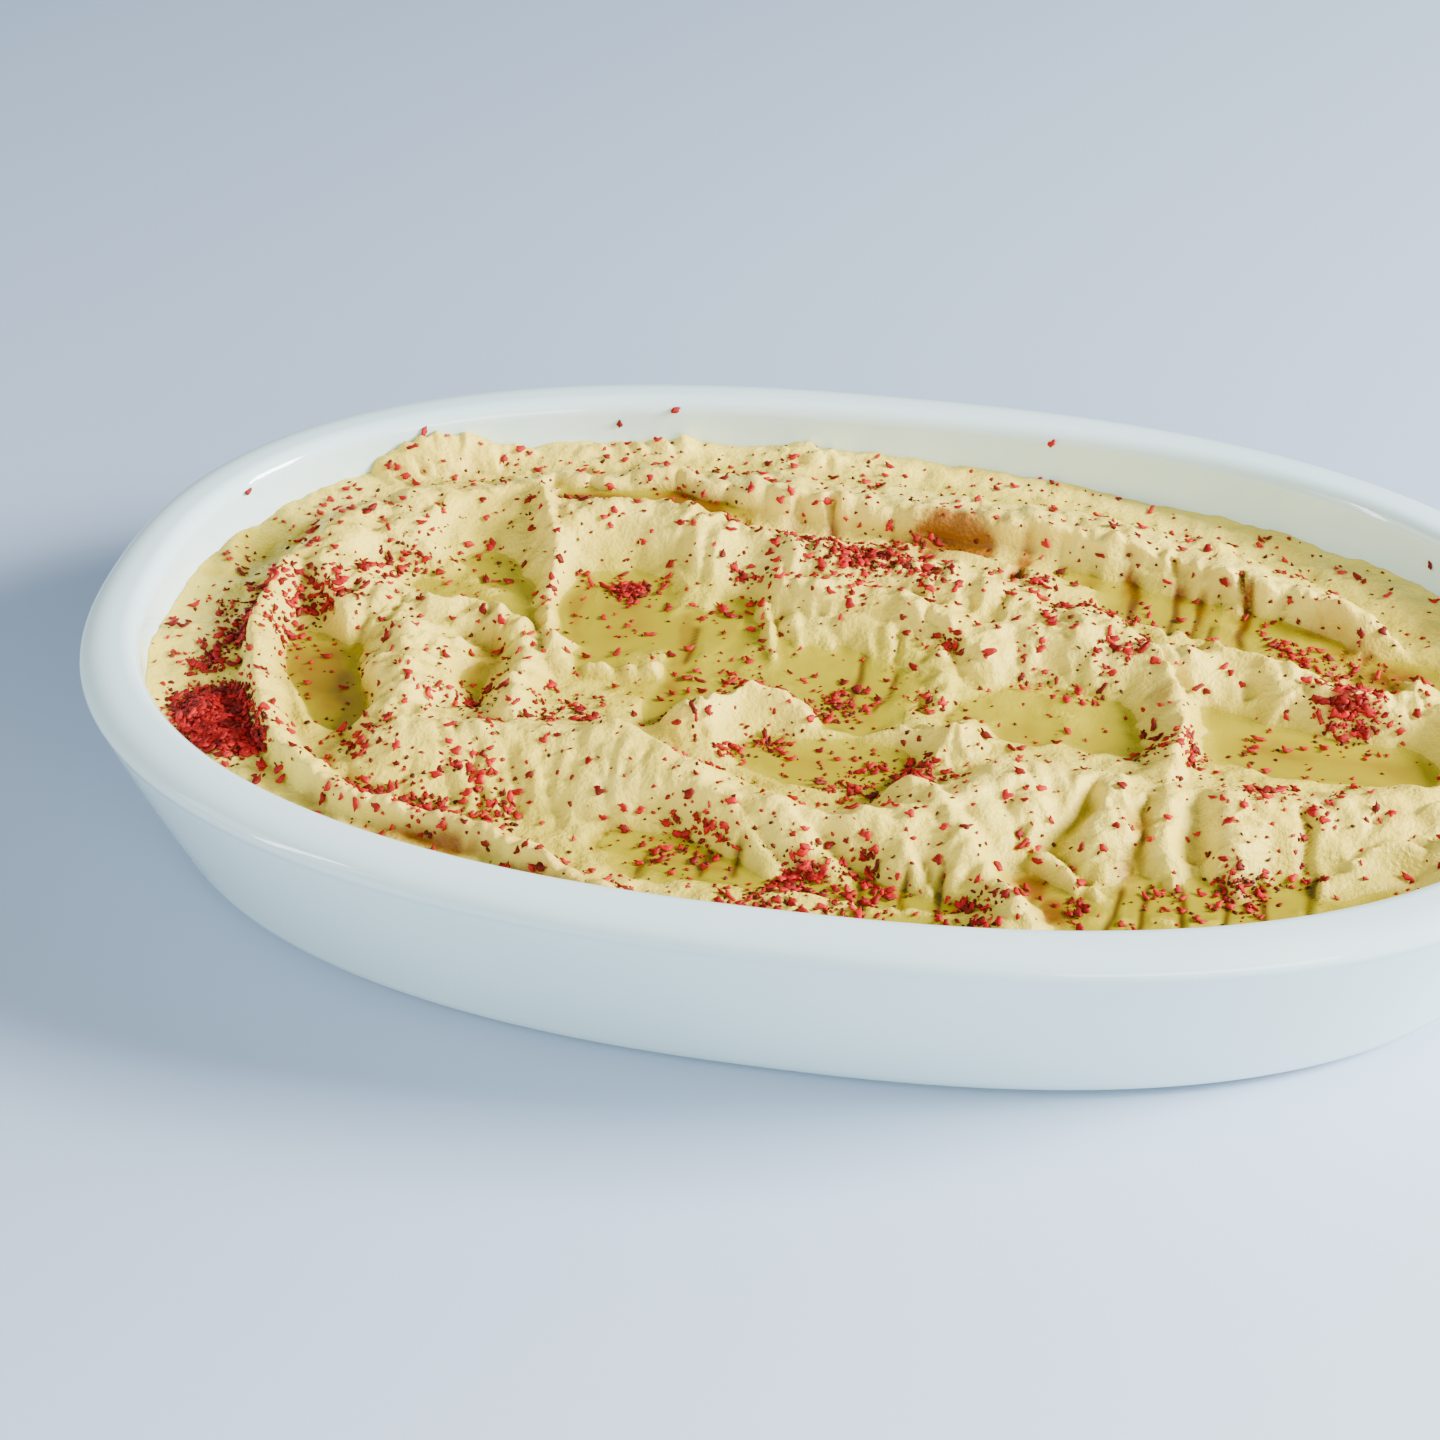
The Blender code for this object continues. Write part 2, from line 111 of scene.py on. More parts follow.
def colourRamp(tree, share, stops):
    # stops are places and colours, the first one at 0
    ramp = addNode(tree, "ShaderNodeValToRGB", {"Fac": share})
    points = ramp.color_ramp.elements
    points[0].color = (*stops[0][1], 1)
    points[1].position = stops[-1][0]
    points[1].color = (*stops[-1][1], 1)
    for place, colour in stops[1:-1]:
        points.new(place).color = (*colour, 1)
    return ramp


def newGroup(name, kind, inputs, outputs):
    # an empty node group, with what it is given and what it puts out
    tree = bpy.data.node_groups.new(name, kind)
    for way, sockets in (("INPUT", inputs), ("OUTPUT", outputs)):
        for label, sort in sockets.items():
            tree.interface.new_socket(label, in_out=way, socket_type=f"NodeSocket{sort}")
    return tree, tree.nodes.new("NodeGroupInput").outputs, tree.nodes.new("NodeGroupOutput")


def newMaterial(name, finish, *tones):
    # finish makes a material's nodes, and gives the shader's inputs
    material = bpy.data.materials.new(name)
    material.use_nodes = True
    tree = material.node_tree
    setInputs(tree, tree.nodes["Principled BSDF"], finish(tree, *tones))
    return material


def mix(tree, share, first, second, **settings):
    inputs = {"Factor": share, "A": first, "B": second}
    return addNode(tree, "ShaderNodeMix", inputs, data_type="RGBA", **settings)


def mottleGroup():
    # two tones in soft patches, for every finish that isn't one even colour
    inputs = {"Patches": "Float", "Dark": "Color", "Light": "Color"}
    tree, given, result = newGroup("mottle", "ShaderNodeTree", inputs, {"Colour": "Color"})
    cloud = noise(tree, given["Patches"], 4)
    spread = addNode(tree, "ShaderNodeMapRange", {"Value": cloud, "From Min": 0.35, "From Max": 0.65})
    setInputs(tree, result, {"Colour": mix(tree, spread, given["Dark"], given["Light"])})
    return tree


mottleTree = mottleGroup()


def mottle(tree, patches, dark, light):
    # the mottle group placed in one material: patches is how many in a metre
    inputs = {"Patches": patches, "Dark": dark, "Light": light}
    return addNode(tree, "ShaderNodeGroup", inputs, node_tree=mottleTree)


# Light, floor and camera

stageLook = {
    "cameraAt": (44.2, -334.0, 255.1),  # millimetres from the middle of the dish's foot
    "cameraTo": (-21.2, 18.5, 0.0),
    "lens": 70.2,
    "floorSize": 6,
    "paintedLightSpan": (-0.8, 0.32),  # how far to the front right the painted falloff of light goes, in metres
    # painted light: floor colours from dark at the back left to bright at the front right, standing in for
    # light falling off
    "floorPaintedLight": [(0, (0.23, 0.31, 0.43)), (5 / 7, (0.395, 0.48, 0.61)), (1, (0.70, 0.81, 0.95))],
    "floorRoughness": 0.6,
    "skyColour": (0.72, 0.87, 1.0),
    "skyStrength": 0.53,
    # where each light is, what it is aimed at, its size in metres, its watts and its colour
    "lights": {
        "window": ((0.92, 0.1, 0.5), (0, 0, 0), (0.36, 0.34), 51, (0.97, 0.98, 1.0)),
        "fill": ((0.6, -0.95, 0.4), (0.1, -0.1, 0), (0.7, 0.4), 9.5, (0.90, 0.97, 1.0)),
        "left fill": ((-0.9, -0.5, 0.5), (-0.1, 0, 0), (0.6, 0.5), 3.5, (0.93, 0.98, 1.0)),
        "strip": ((-0.5, -0.35, 0.3), (0, 0, 0.02), (0.05, 0.4), 1.5, (0.95, 0.98, 1.0)),
    },
}


def areaLight(name, at, to, size, power, colour):
    lamp = newObject(name, bpy.data.lights.new(name, "AREA"))
    lamp.data.shape = "RECTANGLE"
    lamp.data.size, lamp.data.size_y = size
    lamp.data.energy = power
    lamp.data.color = colour
    aim(lamp, Vector(at), Vector(to))


def tableFinish(tree):
    # painted light: the floor's colour ramps along the way to the front right, standing in for light falling
    # off across it
    low, high = stageLook["paintedLightSpan"]
    ways = {0: objectPlace(tree), 1: (1, -1, 0)}
    ahead = addNode(tree, "ShaderNodeVectorMath", ways, operation="DOT_PRODUCT")
    way = {"Value": ahead.outputs["Value"], "From Min": low, "From Max": high}
    colour = colourRamp(tree, addNode(tree, "ShaderNodeMapRange", way), stageLook["floorPaintedLight"])
    return {"Base Color": colour, "Roughness": stageLook["floorRoughness"]}


def buildStage():
    camera = newObject("camera", bpy.data.cameras.new("camera"))
    aim(camera, Vector(stageLook["cameraAt"]) * mm, Vector(stageLook["cameraTo"]) * mm)
    camera.data.lens = stageLook["lens"]
    camera.data.clip_start = 0.01
    bpy.context.scene.camera = camera

    world = bpy.data.worlds.new("studio")
    world.use_nodes = True
    sky = {"Color": stageLook["skyColour"], "Strength": stageLook["skyStrength"]}
    setInputs(world.node_tree, world.node_tree.nodes["Background"], sky)
    bpy.context.scene.world = world
    for name, settings in stageLook["lights"].items():
        areaLight(name, *settings)

    bpy.ops.mesh.primitive_plane_add(size=stageLook["floorSize"])
    floor = bpy.context.object
    floor.name = "floor"
    floor.data.materials.append(newMaterial("pale table", tableFinish))


buildStage()
print("stage ready")


# Dish: one section carried round the oval

dishShape = {
    "ovalPower": 2.38,  # 2 is an ellipse, and more is squarer
    "footInset": 11.0,  # insets in millimetres, inwards from the widest line
    "footRound": 2.6,
    "footFlatness": 0.75,
    "footRing": 6.5,
    # from the hollow under the foot to the ring it stands on: inwards of the ring, and height
    "footSteps": ((2.0, 0.9), (0.6, 0.9), (0.1, 0.5), (-0.3, 0.08), (-1.0, 0)),
    "flare": 1.08,  # 1 is a straight wall, and more is rounder
    "shoulderLevel": 29.6,
    "outerShoulder": 4.6,
    "innerShoulder": 2.6,
    "underAngle": -22,
    "wallInset": 8.3,
    "wallTop": 29.5,
    "floorInset": 20.5,
    "floorHeight": 5.0,
    "sides": 300,
    # points of the section on each part of it, from the foot over the rim to the inner floor
    "points": {"foot": 7, "outside": 20, "shoulder": 16, "rim": 13, "inside": 18},
}


def ovalPoints(u, v, inset):
    # the square of half size 1 carried onto the oval that lies inset millimetres in from the outline
    power = dishShape["ovalPower"]
    out = np.maximum(np.abs(u), np.abs(v))
    reach = (np.abs(u) ** power + np.abs(v) ** power) ** (1 / power)
    scale = out / np.maximum(reach, 1e-9)
    return u * scale * (halfLength - inset * mm), v * scale * (halfWidth - inset * mm)


def arc(angle, inset, level, across, rise):
    # inset and height on an upright ellipse, whose end at angle 0 is at that inset and level
    return inset + across * (1 - np.cos(angle)), level + rise * np.sin(angle)


def innerWall(angle, clearance=0.0):
    # inset and height in millimetres, where angle 0 is under the rim and a right angle is the floor
    shape = dishShape
    across = shape["floorInset"] - shape["wallInset"] - clearance
    down = shape["wallTop"] - shape["floorHeight"] - clearance
    return arc(angle, shape["wallInset"] + clearance, shape["wallTop"], across, -down)


def dishSection():
    # inset and height along one cut of the wall, from under the foot to the inner floor
    def turns(start, end, piece):
        return np.radians(np.linspace(start, end, shape["points"][piece]))

    shape = dishShape
    foot, low, top = shape["footInset"], shape["shoulderLevel"], rimTop / mm
    edge, flat = shape["footRound"], shape["footFlatness"] * shape["footRound"]
    rim = [arc(angle, 0, low, shape["outerShoulder"], top - low)
           for angle in turns(shape["underAngle"], 90, "shoulder")]
    points = [(foot + shape["footRing"] + inwards, height) for inwards, height in shape["footSteps"]]
    points += [arc(angle, foot, flat, edge, -flat) for angle in turns(90, 30, "foot")]
    inset, height = rim[0]
    for share in np.linspace(0.08, 0.97, shape["points"]["outside"]):
        points.append((inset + (foot - inset) * (1 - share) ** shape["flare"], share * height))
    points += rim + [arc(angle, shape["wallInset"], shape["wallTop"], -shape["innerShoulder"],
                         top - shape["wallTop"]) for angle in turns(90, 0, "rim")]
    return points + [innerWall(angle) for angle in turns(5, 90, "inside")]


def roundTheSquare(count):
    # points once round the square, evenly spread in angle, anticlockwise
    angle = np.arange(count) / count * 2 * math.pi
    u, v = np.cos(angle), np.sin(angle)
    out = np.maximum(np.abs(u), np.abs(v))
    return u / out, v / out


def addPiece(name, verts, faces):
    data = bpy.data.meshes.new(name)
    data.from_pydata(verts, [], faces)
    data.shade_smooth()
    return newObject(name, data)


def band(lower, upper):
    # four-sided faces between two closed rings of vertex numbers
    return list(zip(lower, [*lower[1:], lower[0]], [*upper[1:], upper[0]], upper))


def buildDish():
    u, v = roundTheSquare(dishShape["sides"])
    count = len(u)
    verts, faces = [], []
    for inset, height in dishSection():
        x, y = ovalPoints(u, v, inset)
        verts += list(zip(x, y, np.full(count, height * mm)))
    rings = [range(start, start + count) for start in range(0, len(verts), count)]
    for lower, upper in zip(rings, rings[1:]):
        faces += band(lower, upper)
    return addPiece("oval_dish", verts, faces + [rings[0][::-1], rings[-1]])


glazeLook = {
    "tones": (26, (0.61, 0.785, 0.775), (0.67, 0.83, 0.82)),  # patches in a metre, darker and lighter
    "waves": (45, 2, 0.06, 0.002),  # how many in a metre, detail, bump strength and height
    "finish": {"Roughness": 0.07, "IOR": 1.52},
}


def glazeFinish(tree):
    scale, detail, strength, distance = glazeLook["waves"]
    waves = bump(tree, noise(tree, scale, detail), strength, distance)
    return {"Base Color": mottle(tree, *glazeLook["tones"]), "Normal": waves, **glazeLook["finish"]}


dish = buildDish()
dish.data.materials.append(newMaterial("white glaze", glazeFinish))
print("dish ready")


# Dip: a bed of paste, with every stroke of the spoon laid into it

dipShape = {
    "cellsLong": 372,
    "cellsWide": 226,
    "intoWall": 0.25,  # how far the paste is pressed against the glaze
    "clearOfDish": 0.3,
    "edgeAngle": 11,  # where the inner wall is met, before the relief is known
    "wallAngles": (30, 45, 60, 75, 90),  # of the unseen side and underside
    # the bed under the strokes and the band around it: levels, and each rise with where it begins and
    # ends, as shares of the way from the middle to the wall
    "bandLevel": 24.4,
    "bandRise": (0.2, -0.5, 0.5),  # at the back left
    "bandDrop": (2.9, -0.1, 0.65),  # at the back right
    "bedWithin": (0.76, 0.86),
    "bedLevel": 22.5,
    "bedRise": (3.6, 0.06, 0.5),  # towards the back
    "bedHump": (1.8, 0.3, 0.14),  # height, how far to the front, reach
    "wobble": (9, 0.4),  # size and height of the rise and fall along each stroke
    "warps": ((9.0, 0.9), (3.5, 0.35)),  # size and reach of the wander in every edge
    "tornBed": 0.5,
    "lumps": ((9, 0.55), (4.2, 0.36), (2.1, 0.2)),  # size and height of the unevenness
    "tears": ((4.2, 0.28), (2.3, 0.25), (1.3, 0.18)),  # the same for the creases of torn paste
    "streaks": 0.65,  # depth of the fine lines that each stroke leaves
    "streaksDown": (0.35, 0.3, 1.4),  # those down a ridge: slant, squash lengthways, size
    "streaksAlong": (0.2, 1.5),  # those along a valley: squash lengthways, size
    "teeth": ((2.2, 1), (1.1, 0.7)),  # size and height of what makes a crest ragged
    "heapGrain": (1.3, 0.6),
    "curlWithin": (0.93, 0.97),
    "edgeFit": (0.97, 1.0),  # where the grid begins to follow the wall, and where it fully does
    "strokeReach": 3,  # in widths of the stroke
    "ridgeReach": 1.4,  # how far beside a crest it is ragged
    "curlReach": 0.42,
}

# how softly a stroke meets the rest, and how it leans, ripples, tears and curls, where it doesn't say
rollShape = {"up": True, "blend": 0.8, "lean": 0.0, "ripple": None, "ragged": 0.4, "curl": 0.0, "torn": 1.0}
valleyShape = {**rollShape, "up": False, "blend": 0.7, "ragged": 0.0, "torn": 0.25}


def roll(spine, width, fall=4.5, power=1.5, **shape):
    return {**rollShape, "spine": spine, "width": width, "fall": fall, "power": power, **shape}


def valley(spine, width, fall=5.0, power=2.0, **shape):
    return {**valleyShape, "spine": spine, "width": width, "fall": fall, "power": power, **shape}


def comb(grooves, depth, side=0, skew=0.0, origin=0.0):
    # grooves of a fork or a spoon's edge: their pitch beside the stroke, or each one's x at y = origin
    # side 1 is left of the stroke, -1 right, 0 both
    return {"grooves": grooves, "depth": depth, "side": side, "skew": skew, "origin": origin}


def backPillars(depth, side):
    places = (-66, -60, -52, -45, -38, -31, -24, -18, -12, -4, 2.5, 10, 15, 23, 28, 34, 40.4, 46.9, 51.1, 56,
              62)
    return comb(places, depth, side, 0.15, 38)


def frontFolds(depth, side):
    places = (-74, -67, -61, -55, -49.5, -44, -38.5, -33, -26)
    return comb(places, depth, side, 0.45, -38)


# each stroke's highest or lowest line as (x, y, z) in millimetres, its width, and how far and how sharply
# it falls away beside that line
strokes = {
    "backLip": roll([(-65, 35, 27.8), (-47, 40, 28.8), (-27, 42.5, 29), (7, 40.5, 29), (40, 38.5, 28.5),
        (61, 30, 28)], 7, lean=0.35, ripple=backPillars(1.7, -1), curl=-1.8, torn=0.7),
    "rightLip": roll([(62, 31, 27.6), (70.5, 26.5, 28.7), (78.5, 17, 28.5), (91, -11.5, 27), (85, -30, 27),
        (55, -52, 26)], 5, lean=-0.2, ripple=comb(7, 0.5, -1, 0.3), curl=-1.2),
    "leftPlateau": roll([(-63, 32.5, 28.3), (-75.5, 22, 29.2), (-79.5, 12, 29), (-77, 2, 28)], 9.5, 4, 2.4,
        blend=1),
    "leftMound": roll([(-74.5, 7.5, 27), (-69, 2, 27.4), (-64, -4, 28.3), (-61, -19, 28.2),
        (-57.5, -31.5, 27)], 9, 5.5, lean=0.1, ragged=0.6, torn=1.3),
    "backShelf": roll([(-45, 30.5, 29), (-30.5, 33, 29.8), (-19, 27.5, 28.8), (10.5, 25, 28),
        (34, 15, 27.4)], 8, power=1.6, ragged=0.6),
    "shelfCrest": roll([(-13.5, 19, 27.4), (2.5, 16, 28.3), (13.5, 13.5, 28), (20, 8, 26.8)], 6, lean=0.2,
        ripple=comb(5.2, 0.4, -1, 0.3), curl=-1.0),
    "frontRoll": roll([(-57.5, -29, 27.6), (-43, -26, 28.3), (-28, -27.5, 28.8), (-7.5, -37, 28.2),
        (4.5, -40.5, 28.4), (18.5, -33.5, 28.6), (28, -23.5, 28), (52, -25, 27.6), (68, -23.5, 27.6),
        (83.5, -19, 27.5)], 11, 5.8, 1.35, blend=0.6, lean=-0.28, ripple=frontFolds(1.1, -1), ragged=0.25,
        curl=-0.8, torn=0.5),
    "centreMound": roll([(-19, -16.5, 26.5), (-9.5, -12.5, 28.4), (-3.5, -18.5, 27.2), (12, -17.5, 26.9),
        (19, -14.5, 27.2)], 7, 5, ragged=0.7, torn=1.3),
    "rightFan": roll([(20, 11.5, 27.2), (36, 12.5, 27.8), (43, 8.5, 27.8), (57, 9, 27.5), (81, 4.5, 27)],
        7.5),
    "rightMound": roll([(62, 4, 27.3), (75, -2, 27.4), (82, -4, 26.8)], 10, 5, 1.8),
    "crossLip": roll([(43.5, 8, 28), (48, -5, 28.1), (48, -21.5, 27)], 5, 5, 1.2, blend=0.5, curl=1.2),
    "frontMoat": valley([(-66, -36.5, 25.5), (-41, -41.5, 23.3), (-11, -45, 21.3), (23.5, -47, 21.3),
        (48, -43, 21.3), (70.5, -38.5, 21.6), (78.5, -33.5, 22.5)], 6.5, 4.5, blend=0.9,
        ripple=frontFolds(1.0, 1), torn=0.5),
    "backMoat": valley([(-52, 41, 26), (-30, 41.3, 25.6), (-13, 37.5, 24.5), (10, 36, 23.8), (30, 33, 23.2),
        (50, 27, 22.6), (70.5, 20, 22.8), (88, 13, 22.5)], 5, ripple=backPillars(1.7, 1), torn=0.5),
    "amberHole": valley([(8.5, 37.5, 24.6), (12, 36.8, 23.4), (16, 36, 24.2)], 4.2, power=3),
    "amberStrip": valley([(-50, 38.5, 25), (-38, 39.5, 24.2), (-30, 41, 23.8), (-26, 40, 24.4)], 3.6, 4),
    "leftPool": valley([(-81, 0, 24.2), (-77, -9, 20.9), (-72.5, -17, 20.5), (-69.5, -22, 21.2)], 5.8, 5.5,
        3),
    "outerHollow": valley([(-95, 26, 24.6), (-92.5, 18, 23), (-92.5, 10, 23.6)], 6, 2.5),
    "leftStep": valley([(-83.5, 5, 26.6), (-81, -0.5, 25.6)], 4.5, 3.5),
    "leftBasin": valley([(-57, 34.5, 27), (-58.5, 25.5, 23.4), (-57.5, 20, 21.9), (-51.5, 15, 22.2)], 9.5,
        5.4, ripple=comb(5, 0.35)),
    "narrowGroove": valley([(-52.5, 0.5, 25), (-52, -8.5, 21.5), (-50.5, -15.5, 23)], 4.2, 4.5),
    "frontBasin": valley([(-41, -5.5, 23.9), (-29, -10, 23.5)], 8.5, 4.5),
    "mainSlope": valley([(-34, 30.5, 28.3), (-35, 23, 22.7), (-35, 17, 20.8), (-33.5, 8.5, 20.8)], 11, 5.5,
        ripple=comb(4.8, 0.4)),
    "secondSlope": valley([(-17.5, 26.5, 27), (-18, 16, 22), (-17, 2, 22)], 7.5, ripple=comb(4.8, 0.4)),
    "diagonal": valley([(-23.5, 7.5, 21.4), (-25.5, -8, 21.8), (-26.5, -17, 23)], 3.6, 4.5, blend=0.5),
    "middleSlope": valley([(1, 16.5, 26.6), (1.5, 10, 25), (2, 5.5, 22.6), (3.5, 0, 21.5), (4.5, -7, 21.2)],
        9, power=2.8, ripple=comb(4.8, 0.35)),
    "centrePool": valley([(-8, -20.5, 21.4), (-0.5, -21, 20.3), (8, -20, 21)], 9, 5.5),
    "fanSlopeLeft": valley([(25, 9.5, 26), (28.5, -7, 21)], 8, ripple=comb(4.8, 0.4)),
    "fanSlopeRight": valley([(39, 10, 26.5), (38, -7.5, 21.5)], 9, ripple=comb(4.8, 0.4)),
    "rightSlope": valley([(55, 8, 26), (56, -2, 22.5), (61.5, -7, 21), (79.5, -7.5, 21.3)], 8.5,
        ripple=comb(4.8, 0.4)),
    "rightHole": valley([(57.5, 5.5, 24.2), (57.5, 3.5, 23.6)], 2.8, 3.5),
    "outerLip": roll([(-82, 19, 27), (-84.6, 9.5, 28.2), (-85.4, -2, 28.8), (-83.2, -13.5, 28.8),
        (-80, -23, 28.4), (-75.5, -31, 28.2), (-70, -37.3, 28), (-60, -44, 27.8), (-45.6, -47.8, 27.4),
        (-38, -49.4, 27.4), (-31, -53, 27), (-22, -56, 26.6), (-10, -58.5, 25.8), (0, -60, 23.5)], 3.2, 4.8,
        1.7, blend=0.4, ragged=0.6, curl=-1.0, torn=0.6),
    "poolWall": roll([(-53.5, 35, 29), (-47, 22, 28.5), (-43, 8.5, 27), (-42, -1.5, 25.8)], 4.6, power=1.3,
        ragged=0.7),
    "crumbledCrest": roll([(-48, 1, 25.6), (-40, -3.5, 24.9), (-33, -3.6, 24.6), (-27, -2.5, 24.2)], 2.8,
        2.6, 1.3, ragged=0.45, torn=0.6),
    "deepLeft": valley([(-42.5, 19, 22.8), (-42, 13.5, 20.6), (-40.5, 5, 21.2)], 3, 3, 1.6),
    "oliveTrough": valley([(-24.5, 12, 21.4), (-23.8, 5, 20.5), (-24, -3, 20.9), (-24.6, -9, 21.8),
        (-25, -16, 23)], 3.2, 3.6, 1.7),
    "grooveSide": roll([(-46.5, 0, 26.6), (-43.5, -20.5, 27.2)], 4, 4, 1.3, ragged=0.5),
    "longFold": roll([(-31, -25, 29.3), (-22, -28.5, 29.5), (-14.5, -33, 29), (-7, -39.5, 27.4),
        (-2.5, -45, 24.4)], 5, 4.4, 1.25, ragged=0.2, torn=0.4),
    "secondFold": roll([(-4, -37.5, 28.8), (2, -42, 26.8), (7, -46, 23.4)], 4.2, 3.6, 1.4, ragged=0.2,
        torn=0.6),
    "thirdFold": roll([(9.5, -37.5, 28.8), (15, -42, 26.6), (18.5, -46, 23.4)], 4.4, 3.6, 1.4, ragged=0.2,
        torn=0.6),
    "diagonalCrest": roll([(15, -29, 28.6), (18, -33, 28.6), (23.5, -41, 27.7), (28.3, -47.5, 26.6),
        (33, -55, 24.6)], 4.6, 4, 1.3),
    "firstLobe": roll([(27, -24, 28.6), (30, -29.5, 28), (31, -33.5, 26.4)], 5, 3.4, 2),
    "secondLobe": roll([(42, -25, 28.6), (40.5, -34, 27.4), (40, -39.5, 24)], 4.8, 3.6, 1.9),
    "thirdLobe": roll([(48.5, -27, 28), (49, -35, 26.8), (50, -39.5, 23.4)], 3.8, 3.6, 1.8),
    "fourthLobe": roll([(57.5, -25, 28), (58.5, -34.5, 26.8), (59, -38.5, 23.4)], 5.4, 3.4, 2),
    "sandyLobe": roll([(86, -20, 27.2), (79.5, -31, 26.8), (73.5, -38, 25)], 6, 3.6, 2, torn=1.5),
    "brownCrease": valley([(22, -34, 26.4), (27.5, -39.5, 24.4), (31.5, -43.8, 23.4), (37, -50, 22.8)], 3.6,
        3, 1.4),
    "oilGroove": valley([(39, -21, 26.8), (36.5, -29.5, 24.6), (34, -36, 22.8)], 2.8, 3, 1.5),
    "orangeGroove": valley([(45.8, -25, 27), (45.2, -33, 25), (43.3, -41, 22.6)], 2.3, 3, 1.4),
    "greyHollow": valley([(53, -23, 26.6), (53, -33.5, 23)], 3, 3, 1.5),
    "fourthGroove": valley([(66.5, -25, 26.2), (67.6, -34.5, 22.6)], 2.6, 3, 1.5),
    "sandCrease": valley([(76, -25, 26.2), (73, -32.5, 24.2), (70, -39, 22.8)], 2, 3, 1.3),
    "backPool": valley([(33, 28.5, 24.8), (40, 26.5, 23), (49, 24.3, 22.6), (59, 20, 22.7), (76, 13, 22.9)],
        8, 4.8, 2.8, ripple=backPillars(1.2, 1)),
    "leftSmear": roll([(-83, 42, 25.2), (-78, 45.5, 28.6), (-72, 48.5, 29.4), (-66, 50.5, 28.3),
        (-60, 52, 25.8)], 4.6, 4),
    "backSmear": roll([(-50, 54.5, 24.6), (-42, 57, 25.6), (-35, 58, 26.2)], 5, 3.5, 1.6),
    "middleSmear": roll([(-23, 59, 24.6), (-14, 60, 26.2), (-6, 59.5, 25.9), (1, 59, 24.4)], 7, 3.5),
    "secondCrest": roll([(33, -38.5, 25.6), (38, -42.5, 24.6), (43, -44.5, 23)], 3, 3, 1.3),
    "frontGutter": valley([(-5, -61, 23), (6, -60.5, 21.8), (14, -60, 21.6), (21, -59.5, 22)], 10, 3, 3),
    "rightGutter": valley([(41, -57, 22), (52, -53.5, 21.7), (68, -47, 21.9), (80, -39, 23)], 9.5, 3, 3),
    "basinWing": valley([(-72.5, 14, 25.2), (-67, 14, 22.9), (-61.5, 14.5, 22.2)], 5, 4.4, torn=0.8),
    "basinBank": roll([(-64, 5, 26.8), (-57, 4.4, 26.6), (-51.5, 3, 26.2), (-47, 0.5, 25.6)], 4, 3.6, 2,
        ragged=0.6, torn=1.4),
    "middleSpur": roll([(12.5, 13, 27.2), (13, 8, 25.8), (13.8, 2, 24.5), (14.5, -3.5, 23.5)], 4, 3.6,
        torn=1.2),
    "shelfFoot": roll([(-8, 12.3, 25), (-2, 11.6, 25.7), (6, 11.4, 25.8), (11, 9.5, 25.3)], 5.2, 3, 1.2,
        ragged=0.3, torn=0.8),
    "thinRidge": roll([(-13, 15, 25.6), (-11.3, 8, 24), (-10, 2, 23.1)], 1.6, 2, 1.3, blend=0.4, ragged=0.3,
        torn=0.4),
    "plateauCrease": valley([(-68.5, 17.5, 27), (-64, 20.3, 26.6), (-60, 24.5, 26.4)], 1.5, 2.4, 1.3),
}

# grooves down the front of the back lip: x, y from, y to, and how dark their painted shade and oil are
lipGrooves = [
    (-20, 40, 37, 0.6), (-12.5, 40, 36, 0.6), (-7, 40, 36.5, 1), (23, 36, 28.5, 2.2), (40.2, 35, 25.8, 1.7),
    (46.9, 34.5, 24, 1.4), (51.1, 31.5, 20.5, 1.2), (56.8, 31.5, 19.5, 1.6),
]
for number, (place, top, end, dark) in enumerate(lipGrooves):
    line = [(place - 0.6, top + 1.5, 27), (place + 0.4, end, 22.2)]
    strokes[f"lipGroove{number}"] = valley(line, 1.8, 4.5, 1.6, blend=0.4)

# thin grooves that a fork's tines left under the oil: x, y from, y to, in millimetres
tines = [
    (-19.6, -50, -45), (-11.8, -49, -43), (-7.2, -48, -42), (9.4, -52, -45), (15.2, -51, -44),
    (20.3, -50, -43), (42.3, -52, -41), (45.8, -52, -40), (50.8, -51, -39), (56.2, -50, -38),
    (61.2, -49, -37), (68.1, -46, -35), (40, 19, 33), (45.8, 18, 32), (49.8, 18, 30), (57, 17, 31),
    (52.8, 17, 23), (-23, 0, 9), (2, -8, 6), (6.5, -7, 4),
]
tineShape = {"reach": 0.55, "depth": 1.4, "lean": 0.06}

# heaps of ground pepper: x, y, reach and height
heaps = [(-87, -28, 4.5, 0.9), (-81, -33.5, 3.4, 0.8), (-36, 17, 1.6, 0.5), (73, 1, 3.2, 0.5)]


def patchNoise(x, y, size, seed):
    # smooth random values from -1 to 1, with features of that size
    side = 64
    grid = np.random.RandomState(seed).rand(side, side) * 2 - 1
    u, v = x / size + 10 * side, y / size + 10 * side
    column, row = np.floor(u).astype(int), np.floor(v).astype(int)
    across, along = (t ** 3 * (t * (t * 6 - 15) + 10) for t in (u - column, v - row))
    total = 0
    for i, wide in enumerate((1 - across, across)):
        for j, high in enumerate((1 - along, along)):
            total = total + grid[(column + i) % side, (row + j) % side] * wide * high
    return total


def smoothStep(value, start, end):
    share = np.clip((value - start) / (end - start), 0, 1)
    return share * share * (3 - 2 * share)


def smoothMax(first, second, blend):
    share = np.clip(0.5 + 0.5 * (first - second) / blend, 0, 1)
    return second * (1 - share) + first * share + blend * share * (1 - share)


def hill(distance, reach):
    return np.exp(-(distance / reach) ** 2)


